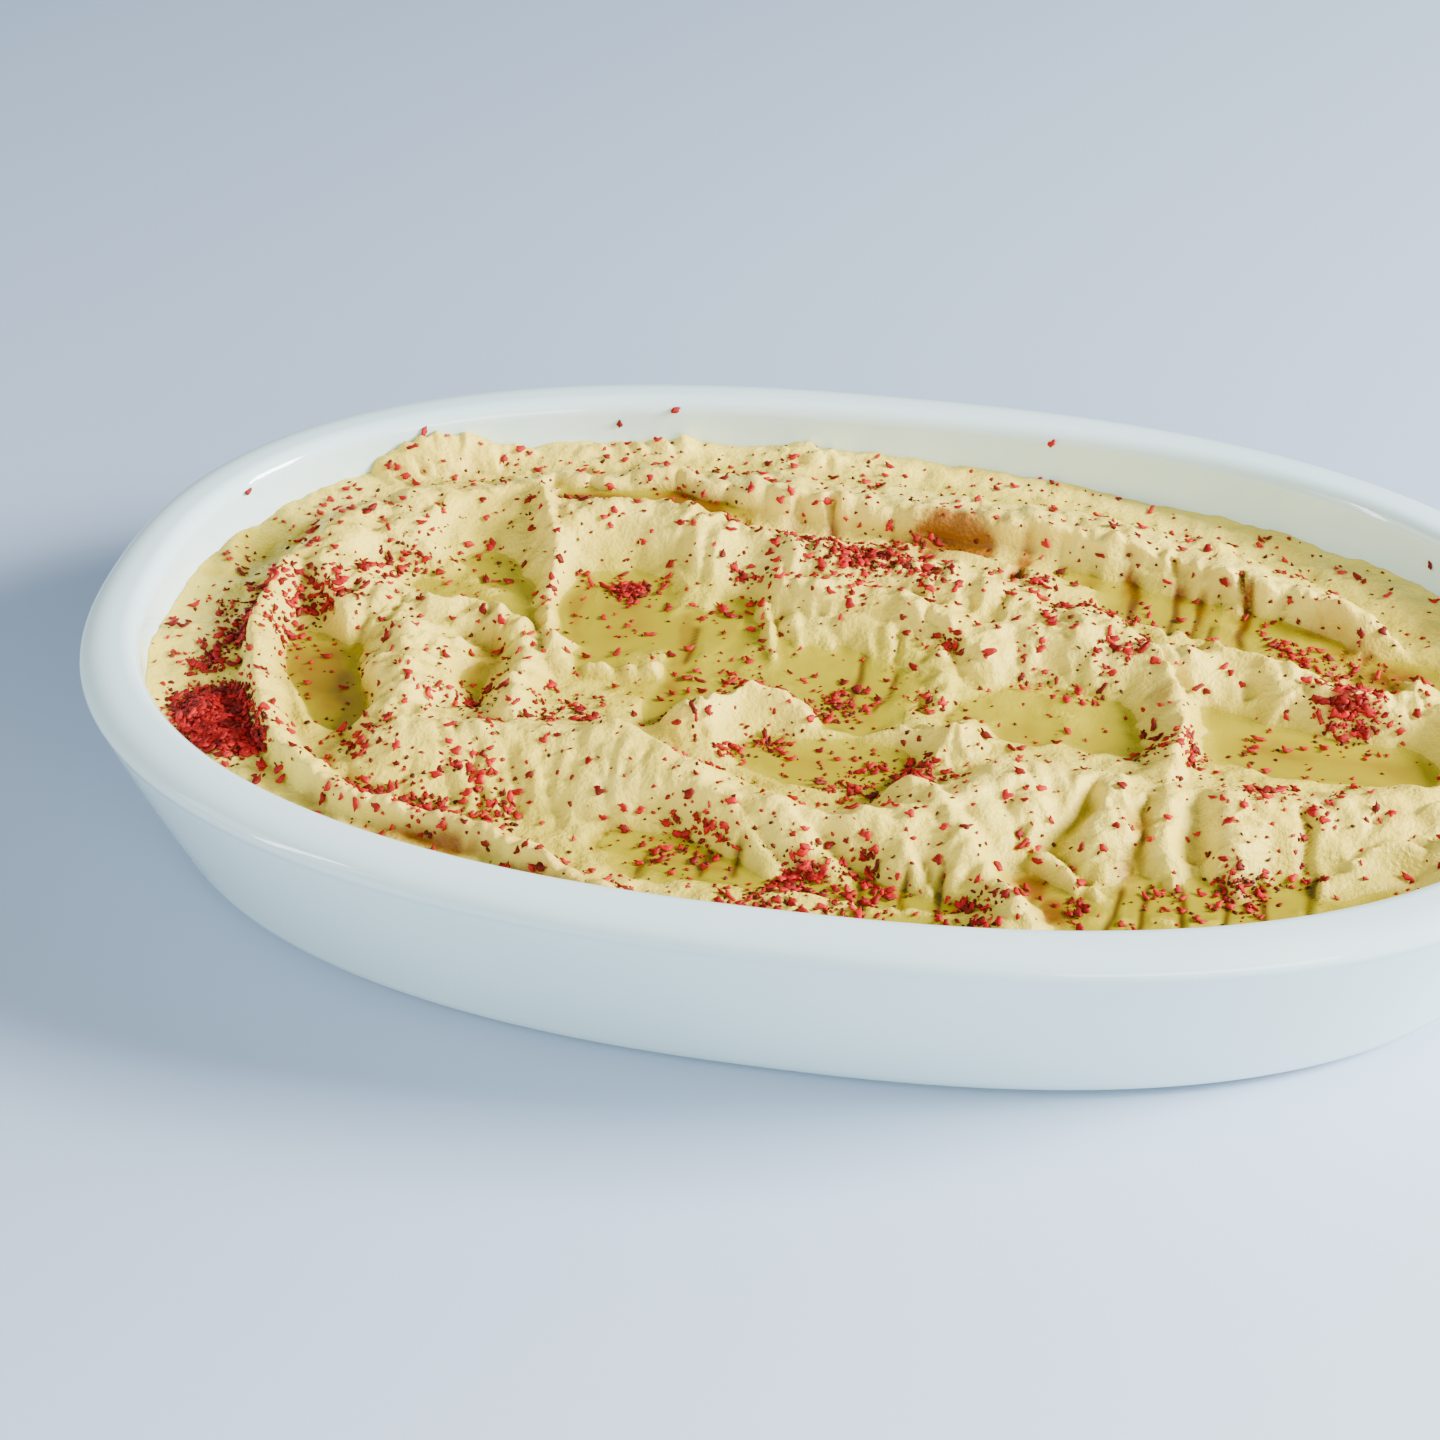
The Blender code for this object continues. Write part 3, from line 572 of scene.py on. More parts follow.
def smoothSpine(points, step=1.5):
    knots = np.array(points, float)
    if len(knots) == 2:
        return knots
    ends = np.vstack([2 * knots[0] - knots[1], knots, 2 * knots[-1] - knots[-2]])
    curve = []
    for a, b, c, d in zip(ends[:-3], ends[1:-2], ends[2:-1], ends[3:]):
        count = max(2, int(np.linalg.norm(c[:2] - b[:2]) / step))
        for t in np.arange(count) / count:
            bend = (2 * a - 5 * b + 4 * c - d) * t ** 2 + (3 * b - a - 3 * c + d) * t ** 3
            curve.append(0.5 * (2 * b + (c - a) * t + bend))
    curve.append(knots[-1])
    return np.array(curve)


def measure(x, y, spine):
    # distance to the spine, side of it from -1 to 1, way along it, its height there and its left
    distance = np.full(x.shape, np.inf)
    found = np.zeros((5, *x.shape))
    walked = 0.0
    for start, end in zip(spine[:-1], spine[1:]):
        dx, dy, dz = end - start
        length = math.hypot(dx, dy)
        share = np.clip(((x - start[0]) * dx + (y - start[1]) * dy) / length ** 2, 0, 1)
        px, py = x - start[0] - share * dx, y - start[1] - share * dy
        here = np.hypot(px, py)
        side = (dx * py - dy * px) / (length * np.maximum(here, 1e-6))
        values = side, walked + share * length, start[2] + share * dz, -dy / length, dx / length
        nearer = here < distance
        for row, value in enumerate(values):
            found[row] = np.where(nearer, value, found[row])
        distance = np.minimum(distance, here)
        walked += length
    return distance, *found


def shares(x, y, inset=dishShape["wallInset"]):
    # how far from the middle to the inner wall, along and across the dish
    return x / (halfLength / mm - inset), y / (halfWidth / mm - inset)


def wayOut(x, y, inset=dishShape["wallInset"]):
    # 0 in the middle of the dish and 1 at its inner wall
    power = dishShape["ovalPower"]
    return sum(np.abs(share) ** power for share in shares(x, y, inset)) ** (1 / power)


def within(x, y, start, end):
    # 1 up to the first share of the way out, and 0 from the second on
    return smoothStep(-wayOut(x, y), -end, -start)


def bedLevel(x, y):
    shape = dipShape
    across, along = shares(x, y)
    back = np.clip(along, 0, 1)
    rise, *leftSpan = shape["bandRise"]
    drop, *rightSpan = shape["bandDrop"]
    outer = shape["bandLevel"] + rise * back * smoothStep(-across, *leftSpan)
    outer = outer - drop * back * smoothStep(across, *rightSpan)
    rise, *backSpan = shape["bedRise"]
    height, front, reach = shape["bedHump"]
    bed = shape["bedLevel"] + rise * smoothStep(along, *backSpan) + height * hill(along + front, reach)
    inside = within(x, y, *shape["bedWithin"])
    return outer * (1 - inside) + bed * inside


combShape = {
    "wander": ((8, 1.2), (3.2, 0.6)),  # size and reach of the grooves' drift sideways
    "uneven": (1.6, 0.3),  # the same where only a pitch is given, in pitches
    "pillarHeights": (0.7, 0.3),  # their middle, and how far they differ from it
    "rippleHeights": (0.65, 0.35),
    "pillarRise": 0.3,  # how far pillars lift the line, as they mostly move the face
    "profile": (0.75, 0.62),  # lower is sharper, and the level that is neither out nor in
    # where it fades out, in widths of the stroke from its line
    "ridgeFade": (1.3, 1.8),
    "valleyFade": (1.0, 1.3),
    "onCrest": (0.3, 0.4),  # share of it there, and the widths from there to where it's full
    "oneSided": (0.35, 2.5),  # share of it at the line, and how soon it's full or gone beside it
}


def differing(phase, middle, swing, seed=0):
    # one height for each pillar or ripple, which the step makes look random
    step = 12.9898
    return middle + swing * np.sin(np.floor(phase) * step + seed * 7.1)


def combing(stroke, number, x, y, distance, side, along, share):
    # a row of soft pillars with sharp grooves between, as millimetres out and in
    ripple = stroke["ripple"]
    grooves, skew = ripple["grooves"], ripple["skew"]
    if isinstance(grooves, tuple):
        lane = x + skew * (y - ripple["origin"])
        for order, (size, reach) in enumerate(combShape["wander"]):
            lane = lane + reach * patchNoise(x, y, size, 40 + order)
        phase = np.interp(lane, grooves, np.arange(len(grooves)))
        strength = differing(phase, *combShape["pillarHeights"])
        strength = strength * (phase > 0) * (phase < len(grooves) - 1)
    else:
        size, reach = combShape["uneven"]
        lane = along + skew * distance * np.sign(side) if stroke["up"] else side * distance + skew * along
        phase = lane / grooves + reach * patchNoise(x, y, grooves * size, 40 + number)
        strength = differing(phase, *combShape["rippleHeights"], number)
    start, end = combShape["ridgeFade" if stroke["up"] else "valleyFade"]
    mask = np.clip((end - share) / (end - start), 0, 1)
    if stroke["up"]:
        least, full = combShape["onCrest"]
        mask = mask * (least + (1 - least) * np.clip(share / full, 0, 1))
    if ripple["side"]:
        least, slope = combShape["oneSided"]
        mask = mask * np.clip(least + slope * ripple["side"] * side, 0, 1)
    sharpness, middle = combShape["profile"]
    return ripple["depth"] * (np.abs(np.sin(math.pi * phase)) ** sharpness - middle) * strength * mask


def warp(x, y):
    # the strokes' own coordinates, so that no line in the paste runs quite straight
    wx, wy = x, y
    for order, (size, reach) in enumerate(dipShape["warps"]):
        wx = wx + reach * patchNoise(x, y, size, 1 + order)
        wy = wy + reach * patchNoise(x, y, size, 11 + order)
    return wx, wy


def tineShare(wx, wy, place, start, end):
    # 1 in the middle of one tine's groove, and 0 well away from it
    across = wx - place - tineShape["lean"] * (wy - start)
    inside = smoothStep(wy, start - 1, start + 1) * smoothStep(-wy, -end - 1, -end + 1)
    return inside * hill(across, tineShape["reach"])


def strokeFace(stroke, spine, number, x, y):
    # height of a stroke's line beside each point, how far the face has fallen away from it there, the
    # distance to the line in widths, and which way the line's left is
    distance, side, along, level, leftX, leftY = measure(x, y, spine)
    share = distance / (stroke["width"] * (1 + stroke["lean"] * side))
    size, height = dipShape["wobble"]
    level = level + height * patchNoise(along, 0 * along, size, number)
    if stroke["ripple"]:
        wave = combing(stroke, number, x, y, distance, side, along, share)
        standing = isinstance(stroke["ripple"]["grooves"], tuple)
        level = level + wave * (combShape["pillarRise"] if standing else 1)
        if standing:
            swell = 1 + wave / stroke["width"]
            share = share / swell if stroke["up"] else share * swell
    if stroke["up"]:
        slant, squash, size = dipShape["streaksDown"]
        streak = patchNoise(along + slant * distance * np.sign(side), distance * squash, size, 70 + number)
    else:
        squash, size = dipShape["streaksAlong"]
        streak = patchNoise(along * squash, side * distance, size, 70 + number)
    level = level + dipShape["streaks"] * streak * stroke["torn"]
    if stroke["ragged"]:
        teeth = sum(height * patchNoise(along, 0 * along + number, size, 80 + 10 * order + number)
                    for order, (size, height) in enumerate(dipShape["teeth"]))
        level = level + stroke["ragged"] * teeth * hill(distance, dipShape["ridgeReach"])
    return level, stroke["fall"] * share ** stroke["power"], share, leftX, leftY


def relief(x, y):
    # height of the paste, how torn it is there, and how far its crests curl over sideways
    shape = dipShape
    wx, wy = warp(x, y)
    z = bedLevel(wx, wy)
    torn = np.full(z.shape, shape["tornBed"])
    curlX, curlY = np.zeros(z.shape), np.zeros(z.shape)
    for number, stroke in enumerate(strokes.values()):
        spine = smoothSpine(stroke["spine"])
        reach = stroke["width"] * shape["strokeReach"]
        low, high = spine.min(0) - reach, spine.max(0) + reach
        near = (wx > low[0]) & (wx < high[0]) & (wy > low[1]) & (wy < high[1])
        level, fall, share, leftX, leftY = strokeFace(stroke, spine, number, wx[near], wy[near])
        up = 1 if stroke["up"] else -1
        blend = stroke["blend"]
        grip = smoothStep(up * (level - z[near]) - fall, -blend, blend)
        z[near] = up * smoothMax(up * z[near], up * level - fall, blend)
        torn[near] += (stroke["torn"] - torn[near]) * grip
        over = grip * hill(share, shape["curlReach"])
        curlX[near] += (stroke["curl"] * leftX - curlX[near]) * over
        curlY[near] += (stroke["curl"] * leftY - curlY[near]) * over
    for tine in tines:
        z = z - tineShape["depth"] * tineShare(wx, wy, *tine)
    for px, py, reach, height in heaps:
        heap = hill(np.hypot(x - px, y - py), reach)
        size, grain = shape["heapGrain"]
        z = z + height * heap * (1 + grain * patchNoise(x, y, size, 51))
    for order, (size, height) in enumerate(shape["lumps"]):
        z = z + height * patchNoise(x, y, size, 21 + order)
    for order, (size, height) in enumerate(shape["tears"]):
        z = z + height * torn * (1 - 2 * np.abs(patchNoise(wx, wy, size, 31 + order)))
    return z, torn, curlX, curlY


def neighbours(field):
    # what lies below, above, left and right of each point of a padded grid
    return [field[:-2, 1:-1], field[2:, 1:-1], field[1:-1, :-2], field[1:-1, 2:]]


def blur(field, times):
    for _ in range(times):
        field = (sum(neighbours(np.pad(field, 1, mode="edge"))) + 4 * field) / 8
    return field


def gridFaces(number):
    # four-sided faces between the neighbours in a grid of vertex numbers, left out where one is below 0
    corners = np.stack([number[:-1, :-1], number[1:, :-1], number[1:, 1:], number[:-1, 1:]], -1)
    return corners[(corners >= 0).all(-1)]


def dipGrid():
    # x, y and z of the dip's top in millimetres, on a grid fitted to the oval
    shape = dipShape
    columns, rows = (np.linspace(-1, 1, shape[cells] + 1) for cells in ("cellsLong", "cellsWide"))
    u, v = np.meshgrid(columns, rows, indexing="ij")
    start = math.radians(shape["edgeAngle"])
    angle = np.full(u.shape, start)
    for _ in range(2):
        inset, _height = innerWall(angle, -shape["intoWall"])
        x, y = ovalPoints(u, v, inset)
        x, y = x / mm, y / mm
        z, torn, curlX, curlY = relief(x, y)
        down = dishShape["wallTop"] - dishShape["floorHeight"] + shape["intoWall"]
        edge = np.arcsin(np.clip((dishShape["wallTop"] - z) / down, 0, 1))
        fit = smoothStep(np.maximum(np.abs(u), np.abs(v)), *shape["edgeFit"])
        angle = start * (1 - fit) + edge * fit
    clear = within(x, y, *shape["curlWithin"])
    return u, v, x + curlX * clear, y + curlY * clear, z, torn


def gridVerts(*fields):
    return np.column_stack([field.ravel() for field in fields]) * mm


def buildDip(u, v, x, y, z):
    verts = gridVerts(x, y, z).tolist()
    index = np.arange(z.size).reshape(z.shape)
    faces = gridFaces(index).tolist()
    ring = np.concatenate([index[:-1, 0], index[-1, :-1], index[:0:-1, -1], index[0, :0:-1]]).tolist()
    ringU, ringV = u.ravel()[ring], v.ravel()[ring]
    for angle in np.radians(dipShape["wallAngles"]):
        inset, height = innerWall(angle, dipShape["clearOfDish"])
        lower = list(range(len(verts), len(verts) + len(ring)))
        verts += [(px, py, height * mm) for px, py in zip(*ovalPoints(ringU, ringV, inset))]
        faces += band(lower, ring)
        ring = lower
    return addPiece("swirled_dip", verts, faces + [ring[::-1]])


def writeAttribute(piece, name, values):
    # values of the grid's vertices come first, and what is below them gets 0
    layer = piece.data.attributes.new(name, "FLOAT", "POINT")
    full = np.zeros(len(piece.data.vertices))
    full[:values.size] = values.ravel()
    layer.data.foreach_set("value", full)


gridU, gridV, gridX, gridY, gridZ, gridTorn = dipGrid()
dip = buildDip(gridU, gridV, gridX, gridY, gridZ)
print("dip relief ready", round(float(gridZ.min()), 1), round(float(gridZ.max()), 1))


# Stains: where oil has gathered dark and where it has run down, with painted shade in creases, grooves and
# under overhanging lips

# places where the oil has gathered dark, partly painted shade in creases and under overhanging lips: x, y,
# reach along x and y, strength
oilStainsAndShade = [
    (12.2, 36.8, 4.6, 4.2, 6), (-29.5, 39, 4.5, 3.6, 3), (-43, 37.5, 7, 2.6, 2.2), (34, 31, 1.2, 3, 0.6),
    (46.2, -0.8, 1.7, 3, 1.6), (-52, -5, 1.8, 5, 0.7), (-24.5, -4, 1.5, 8, 0.45), (32, -43.6, 2, 2.4, 2),
    (35.2, -48, 2, 2.2, 2.4), (45.2, -32, 1.4, 3.6, 0.9), (43.6, -39, 1.8, 3.5, 0.8), (69, 23, 5, 2, 0.8),
    (74, 18.7, 4.5, 2.4, 1.3), (79, 14, 5, 2.6, 2), (-58, 33, 3, 2, 0.3), (27, 15, 2.4, 2, 0.3),
    (-45, -50, 12, 1.8, 1.3), (-28, -55.5, 10, 1.8, 1.4), (-64, -43.5, 6, 1.8, 0.5), (85, 18, 4, 3, 0.4),
    (-76, -12, 8, 11, 0.45), (-70.5, -19, 6, 7, 0.35),
]
# the grooves of the back lip get painted shade and dark oil
for place, top, end, dark in lipGrooves:
    oilStainsAndShade.append((place, (top + end) / 2, 1.3, (top - end) / 2 + 0.8, dark))

# slopes that oil has run down, in the same form; the one outside the left lip is partly painted shadow of
# that lip
runsAndShadow = [
    (-35, 21, 6.5, 7, 0.7), (-18, 13, 5.5, 9, 0.6), (3, 7, 8, 6, 0.45), (-57, 22, 8, 8, 0.5),
    # the first entry here is oil and painted shadow outside the left lip
    (-94.5, 17, 8, 9, 3), (31, -5, 8, 6, 0.3), (60, -3, 9, 5, 0.4), (36.2, -31, 2.2, 6.5, 2.0),
    (44.5, -33, 2, 7, 1.4), (67, -31, 2.5, 6, 0.8), (-51.5, -4, 3, 8, 0.9), (30, -41.5, 3, 5, 1.4),
    (-75, -10, 5, 10, 0.5), (50, 27, 12, 6, 0.5), (80, 13, 7, 4, 1.2), (70, 19, 8, 4, 0.6),
    (0.5, -25, 9, 4, 1.0), (-10, -45, 10, 4, 0.5), (12, -46, 10, 4, 0.5), (-42, -50, 12, 2.5, 0.6),
    (-24, 0, 2.5, 10, 0.6),
]

oilAndShadeShape = {
    "levelled": 24,  # how many times the relief is blurred, to tell what stands out of it
    "most": 0.95,
    "onCrests": 0.3,  # how much of a stain or its painted shade still shows on a crest
    "streaks": (2.5, 0.4),  # size and strength of the streaks in a run
    "stretch": (2, 0.4),  # of the streaks, across and along
    # how low the paste lies where each begins and is full, in millimetres
    "low": (-0.4, 0.7),
    "runLow": (-0.7, 0.5),
}
relative = gridZ - blur(gridZ, oilAndShadeShape["levelled"])
warpX, warpY = warp(gridX, gridY)


def patches(places):
    mask = np.zeros(gridZ.shape)
    for x, y, reachX, reachY, strength in places:
        mask = np.maximum(mask, strength * hill(warpX - x, reachX) * hill(warpY - y, reachY))
    return mask


def oilStainAndShadeMask():
    # oil stains and painted shade, stronger where the paste lies low
    crests = oilAndShadeShape["onCrests"]
    low = crests + (1 - crests) * smoothStep(-relative, *oilAndShadeShape["low"])
    return np.clip(patches(oilStainsAndShade) * low, 0, oilAndShadeShape["most"])


def tineMask():
    return np.maximum.reduce([tineShare(warpX, warpY, *tine) for tine in tines])


def runAndShadowMask():
    size, strength = oilAndShadeShape["streaks"]
    across, along = oilAndShadeShape["stretch"]
    streaks = 1 + strength * patchNoise(gridX * across, gridY * along, size, 62)
    return np.clip(patches(runsAndShadow) * smoothStep(-relative, *oilAndShadeShape["runLow"]) * streaks, 0, 1)


# dark oil and painted shade in creases and under overhangs
oilStainAndShadePlaces = oilStainAndShadeMask()
tinePlaces = tineMask()


# Oil: level pools in the hollows, shut in by the paste

oilShape = {
    "rise": 0.22,  # how far it climbs at its edge
    "edgeDepth": 0.8,
    "underPaste": 3,  # cells that its sheet goes on under the paste
    "deepest": 4,
    # a point in each pool, its level and how far it reaches, in millimetres
    "pools": [
        (-75, -13, 23.4, 25), (-57, 17, 23.1, 20), (-34.5, 13, 23.0, 18), (-17.3, 8, 22.8, 16),
        (-24.5, -6, 22.6, 14), (3, 2, 22.9, 14), (3, -20, 22.7, 18), (28.3, -9, 23.0, 10),
        (38, -11, 23.0, 12), (66, -7.3, 23.0, 22), (50, 24, 23.6, 21), (85, 14, 23.4, 9),
        (-11, -47, 22.8, 14), (12, -48, 22.8, 20), (50, -45, 22.9, 22), (10, -58, 22.8, 18),
        (66, -46, 22.9, 15), (48, -54, 22.9, 16), (-52, -9, 22.6, 10), (-38, 40.5, 25.8, 16),
        (23, 34.5, 23.4, 4),
    ],
}


def around(field):
    return np.maximum.reduce(neighbours(np.pad(field, 1)))


def floodFrom(seed, allowed):
    reached = np.zeros(allowed.shape, bool)
    reached[seed] = allowed[seed]
    while True:
        grown = (reached | around(reached)) & allowed
        if (grown == reached).all():
            return reached
        reached = grown


def poolLevels():
    # level of the oil over each grid vertex, and 0 where there is none
    levels = np.zeros(gridZ.shape)
    for px, py, level, reach in oilShape["pools"]:
        away = np.hypot(gridX - px, gridY - py)
        seed = np.unravel_index(np.argmin(away), gridZ.shape)
        pool = floodFrom(seed, (gridZ < level) & (away < reach))
        levels = np.where(pool, np.maximum(levels, level), levels)
    return levels


def spread(levels, times):
    # carries each pool's level a few cells outwards, under the paste
    for _ in range(times):
        levels = np.where(levels > 0, levels, around(levels))
    return levels


def buildOil(levels):
    wide = spread(levels, oilShape["underPaste"])
    depth = wide - gridZ
    surface = wide + oilShape["rise"] * (1 - np.clip(depth / oilShape["edgeDepth"], 0, 1)) ** 2
    index = np.arange(gridZ.size).reshape(gridZ.shape)
    faces = gridFaces(np.where(wide > 0, index, -1))
    used = np.unique(faces)
    verts = gridVerts(gridX, gridY, surface)[used].tolist()
    piece = addPiece("olive_oil", verts, np.searchsorted(used, faces).tolist())
    writeAttribute(piece, "depth", np.clip(depth.ravel()[used], 0, oilShape["deepest"]))
    # dark oil and painted shade, also laid over the oil
    writeAttribute(piece, "oil_stain_and_shade", oilStainAndShadePlaces.ravel()[used])
    writeAttribute(piece, "tine", tinePlaces.ravel()[used])
    return piece


levels = poolLevels()
oil = buildOil(levels)
print("oil ready", len(oil.data.vertices))

oilLook = {
    "cloudPerMillimetre": 0.4,
    # from the thinnest oil to the deepest: places, and the colour or how much of the paste is hidden there
    "tones": [(0, (0.57, 0.465, 0.006)), (0.45, (0.46, 0.35, 0.0)), (1, (0.27, 0.17, 0.0))],
    "cover": [(0, (0.4, 0.4, 0.4)), (0.85, (0.95, 0.95, 0.95))],
    # the first layer is dark oil and painted shade in creases and under overhangs
    "layers": [("oil_stain_and_shade", (0.22, 0.075, 0.0), 1), ("tine", (0.085, 0.04, 0.0), 1)],
    "finish": {"Roughness": 0.08, "Specular IOR Level": 0.25, "IOR": 1.47},
}


def paintOver(tree, colour, layers):
    # lays colours over what is under them, each as strongly as its attribute says
    for name, over, share in layers:
        colour = mix(tree, calculate(tree, "MULTIPLY", attribute(tree, name), share), colour, over)
    return colour


def oilFinish(tree):
    deep = calculate(tree, "MULTIPLY", attribute(tree, "depth"), oilLook["cloudPerMillimetre"])
    colour = paintOver(tree, colourRamp(tree, deep, oilLook["tones"]), oilLook["layers"])
    cover = colourRamp(tree, deep, oilLook["cover"])
    return {"Base Color": colour, "Alpha": cover, **oilLook["finish"]}


oil.data.materials.append(newMaterial("olive oil", oilFinish))

pasteLook = {
    "tones": (90, (0.80, 0.58, 0.06), (0.90, 0.685, 0.105)),  # patches in a metre, darker and lighter
    # attribute, colour and strength of each layer, from the lowest
    "layers": [
        ("soak", (0.60, 0.46, 0.025), 0.75),
        # painted glow: a warmer amber on the raised crests, standing in for light shining through the thin
        # paste there
        ("crest", (0.88, 0.63, 0.09), 1),
        # painted shade: the paste darkened in its hollows, where less light reaches
        ("cavity_shade", (0.42, 0.29, 0.03), 0.65),
        ("wet", (0.47, 0.335, 0.005), 0.88),
        ("tine", (0.15, 0.075, 0.001), 1),
        # the stain layer below is dark oil and painted shade in creases and under overhangs
        ("oil_stain_and_shade", (0.24, 0.068, 0.002), 1),
        ("pepper", (0.42, 0.014, 0.018), 1),
    ],
    "finish": {
        "Roughness": 0.42, "Specular IOR Level": 0.2, "Subsurface Weight": 0.08,
        "Subsurface Radius": (1.0, 0.7, 0.35), "Subsurface Scale": 0.0012,
    },
    "chunks": 330,  # how many in a metre
    "grains": 1500,
    "grainShare": 0.38,
    "bumpHeight": 0.0008,
}


def pasteFinish(tree):
    colour = paintOver(tree, mottle(tree, *pasteLook["tones"]), pasteLook["layers"])
    coarse = noise(tree, pasteLook["chunks"], 3, noise_type="RIDGED_MULTIFRACTAL")
    chunks = calculate(tree, "MULTIPLY", coarse, attribute(tree, "torn"))
    fine = noise(tree, pasteLook["grains"], 3)
    grain = calculate(tree, "MULTIPLY_ADD", fine, pasteLook["grainShare"], chunks)
    surface = bump(tree, grain, 1.0, pasteLook["bumpHeight"])
    return {"Base Color": colour, "Normal": surface, **pasteLook["finish"]}


# Pepper flakes, strewn over paste and oil

sprinkle = {
    "bedStep": 2,  # cells of the dip in one of the coarse bed's
    "anywhere": 0.022,  # specks per square millimetre
    "anywhereLeft": 0.026,  # so many more at the left end
    "seed": 7,
    "toneSeed": 5,
    "strayFlake": 1.9,
    # darkest, middle and brightest scrap
    "red": ((0.13, 0.006, 0.003), (0.32, 0.008, 0.007), (0.58, 0.012, 0.013)),
    "dark": ((0.05, 0.010, 0.004), (0.17, 0.010, 0.006), (0.42, 0.014, 0.010)),
    "skin": (900, (0.7, 0.6, 0.6), (1, 1, 1)),  # patches in a metre, darker and lighter
    "finish": {"Roughness": 0.55, "Specular IOR Level": 0.15},
    "within": (0.96, 1.0),  # shares of the way out
    # x, y, reach and flakes per square millimetre at the middle, in millimetres
    "drifts": [
        (-89, -26, 3.6, 2.6), (-85.5, -29.5, 3.4, 3.0), (-82, -33, 3.3, 2.8), (-78.5, -33.5, 2.1, 1.5),
        (-86, -23, 2.4, 2.2), (-83.5, -24.5, 2.0, 1.2), (-91, -14.5, 2.6, 1.3), (-89, -8, 2.4, 1.2),
        (-88.5, -2, 2.2, 1.0), (-88, 3, 2, 0.8), (-92.5, 0, 2, 0.5), (-80, 3, 4, 0.5), (-82, -6, 2.5, 0.4),
        (-68, 18, 3.5, 0.3), (-72, 11, 3, 0.25), (-74, 3, 2.5, 0.2), (-50, -17, 3, 0.4),
        (-55, -18, 2.2, 0.3), (-35, 17.5, 2.0, 4.0), (-36, -18, 4, 0.35), (-21, 14, 2.5, 0.25),
        (-15, 17, 2.5, 0.2), (-19, 22, 3, 0.2), (-9, 29, 3.5, 0.6), (2, 28, 5, 0.8), (-2, 26, 4, 0.5),
        (9, 24, 3.5, 0.4), (15, 8, 2, 0.5), (-13, -5, 4, 0.35), (1, -7, 3.2, 0.9), (13, -4, 2.5, 0.4),
        (-7, -17, 2, 0.8), (-12, -21, 2, 0.4), (9, -22, 4, 0.4), (16, -23, 3, 0.5), (4, -26, 4, 0.3),
        (-14, -43, 5, 0.4), (2, -47, 3, 1.1), (9, -45, 3, 0.5), (-2, -54, 4, 0.5), (9, -53, 4, 0.4),
        (-42, -41, 3.5, 0.45), (-51, -42, 4.5, 0.5), (-60, -41, 3, 0.3), (-46, -33, 3, 0.25),
        (-63, -30, 4, 0.2), (25, 26, 3, 0.35), (37, 22, 3, 0.4), (43, 22, 2.5, 0.3), (30, 17, 4, 0.3),
        (40, 10, 4, 0.25), (28, 4, 2.5, 0.3), (35, 2, 2.5, 0.25), (46, -14, 3, 0.2), (51, -12, 2.5, 0.5),
        (64, 17, 3, 0.8), (72, 14, 4, 0.4), (73, 1, 3.6, 1.4), (69, 5, 3, 0.3), (60, -8, 2.5, 0.3),
        (60, -22, 3, 0.4), (69, -25, 3, 0.4), (59, -40, 3.5, 0.8), (66, -35, 2.5, 0.3), (25, -51, 3.5, 0.6),
        (38, -47, 2, 0.5), (49, -43, 3, 0.3),
    ],
}


def pepperDrift(x, y):
    # flakes per square millimetre that the drifts lay down
    return sum(peak * hill(np.hypot(x - px, y - py), reach) for px, py, reach, peak in sprinkle["drifts"])


# how each mask fades in and out, from none to full
maskShape = {
    "wetCells": 6,  # of the grid, around a pool
    "wetHeight": 0.7,  # millimetres above the oil
    "wetTorn": 0.8,
    "torn": (0.1, 1.5),
    "soakLevel": (25.6, -2.2, 2.6),
    "soakPatches": (6, 0.5),  # size and strength
    "soakWithin": (0.86, 0.93),  # shares of the way out
    # painted glow on the crests
    "crest": (0.35, 1.1),  # millimetres above what is around it
    # painted shade in the hollows
    "cavity_shade": (0.15, 1.3),
    "pepper": (0.35, 1.4),  # flakes per square millimetre
    "speckle": (1.2, 0.7),  # size and strength
}


def blotches(name, seed):
    size, strength = maskShape[name]
    return 1 + strength * patchNoise(gridX, gridY, size, seed)


def finishDip():
    shape = maskShape
    pools = spread(levels, shape["wetCells"])
    wet = blur(np.clip(1 - (gridZ - pools) / shape["wetHeight"], 0, 1) * (pools > 0), 1)
    level, *span = shape["soakLevel"]
    soak = smoothStep(level - blur(gridZ, 4), *span) * blotches("soakPatches", 63)
    pepper = pepperDrift(gridX, gridY) * blotches("speckle", 61)
    masks = {
        # oil near the pools and down the slopes, and painted shadow outside the left lip
        "wet": np.maximum(wet, runAndShadowMask()),
        "soak": np.clip(soak, 0, 1) * within(gridX, gridY, *shape["soakWithin"]),
        # painted glow: the crests of the relief
        "crest": smoothStep(relative, *shape["crest"]),
        # painted shade: the hollows of the relief
        "cavity_shade": smoothStep(-relative, *shape["cavity_shade"]),
        # dark oil and painted shade in creases and under overhangs
        "oil_stain_and_shade": oilStainAndShadePlaces,
        "tine": tinePlaces,
        "pepper": smoothStep(pepper, *shape["pepper"]),
        "torn": np.clip(gridTorn - shape["wetTorn"] * wet, *shape["torn"]),
    }
    for name, values in masks.items():
        writeAttribute(dip, name, values)
    dip.data.materials.append(newMaterial("chickpea paste", pasteFinish))


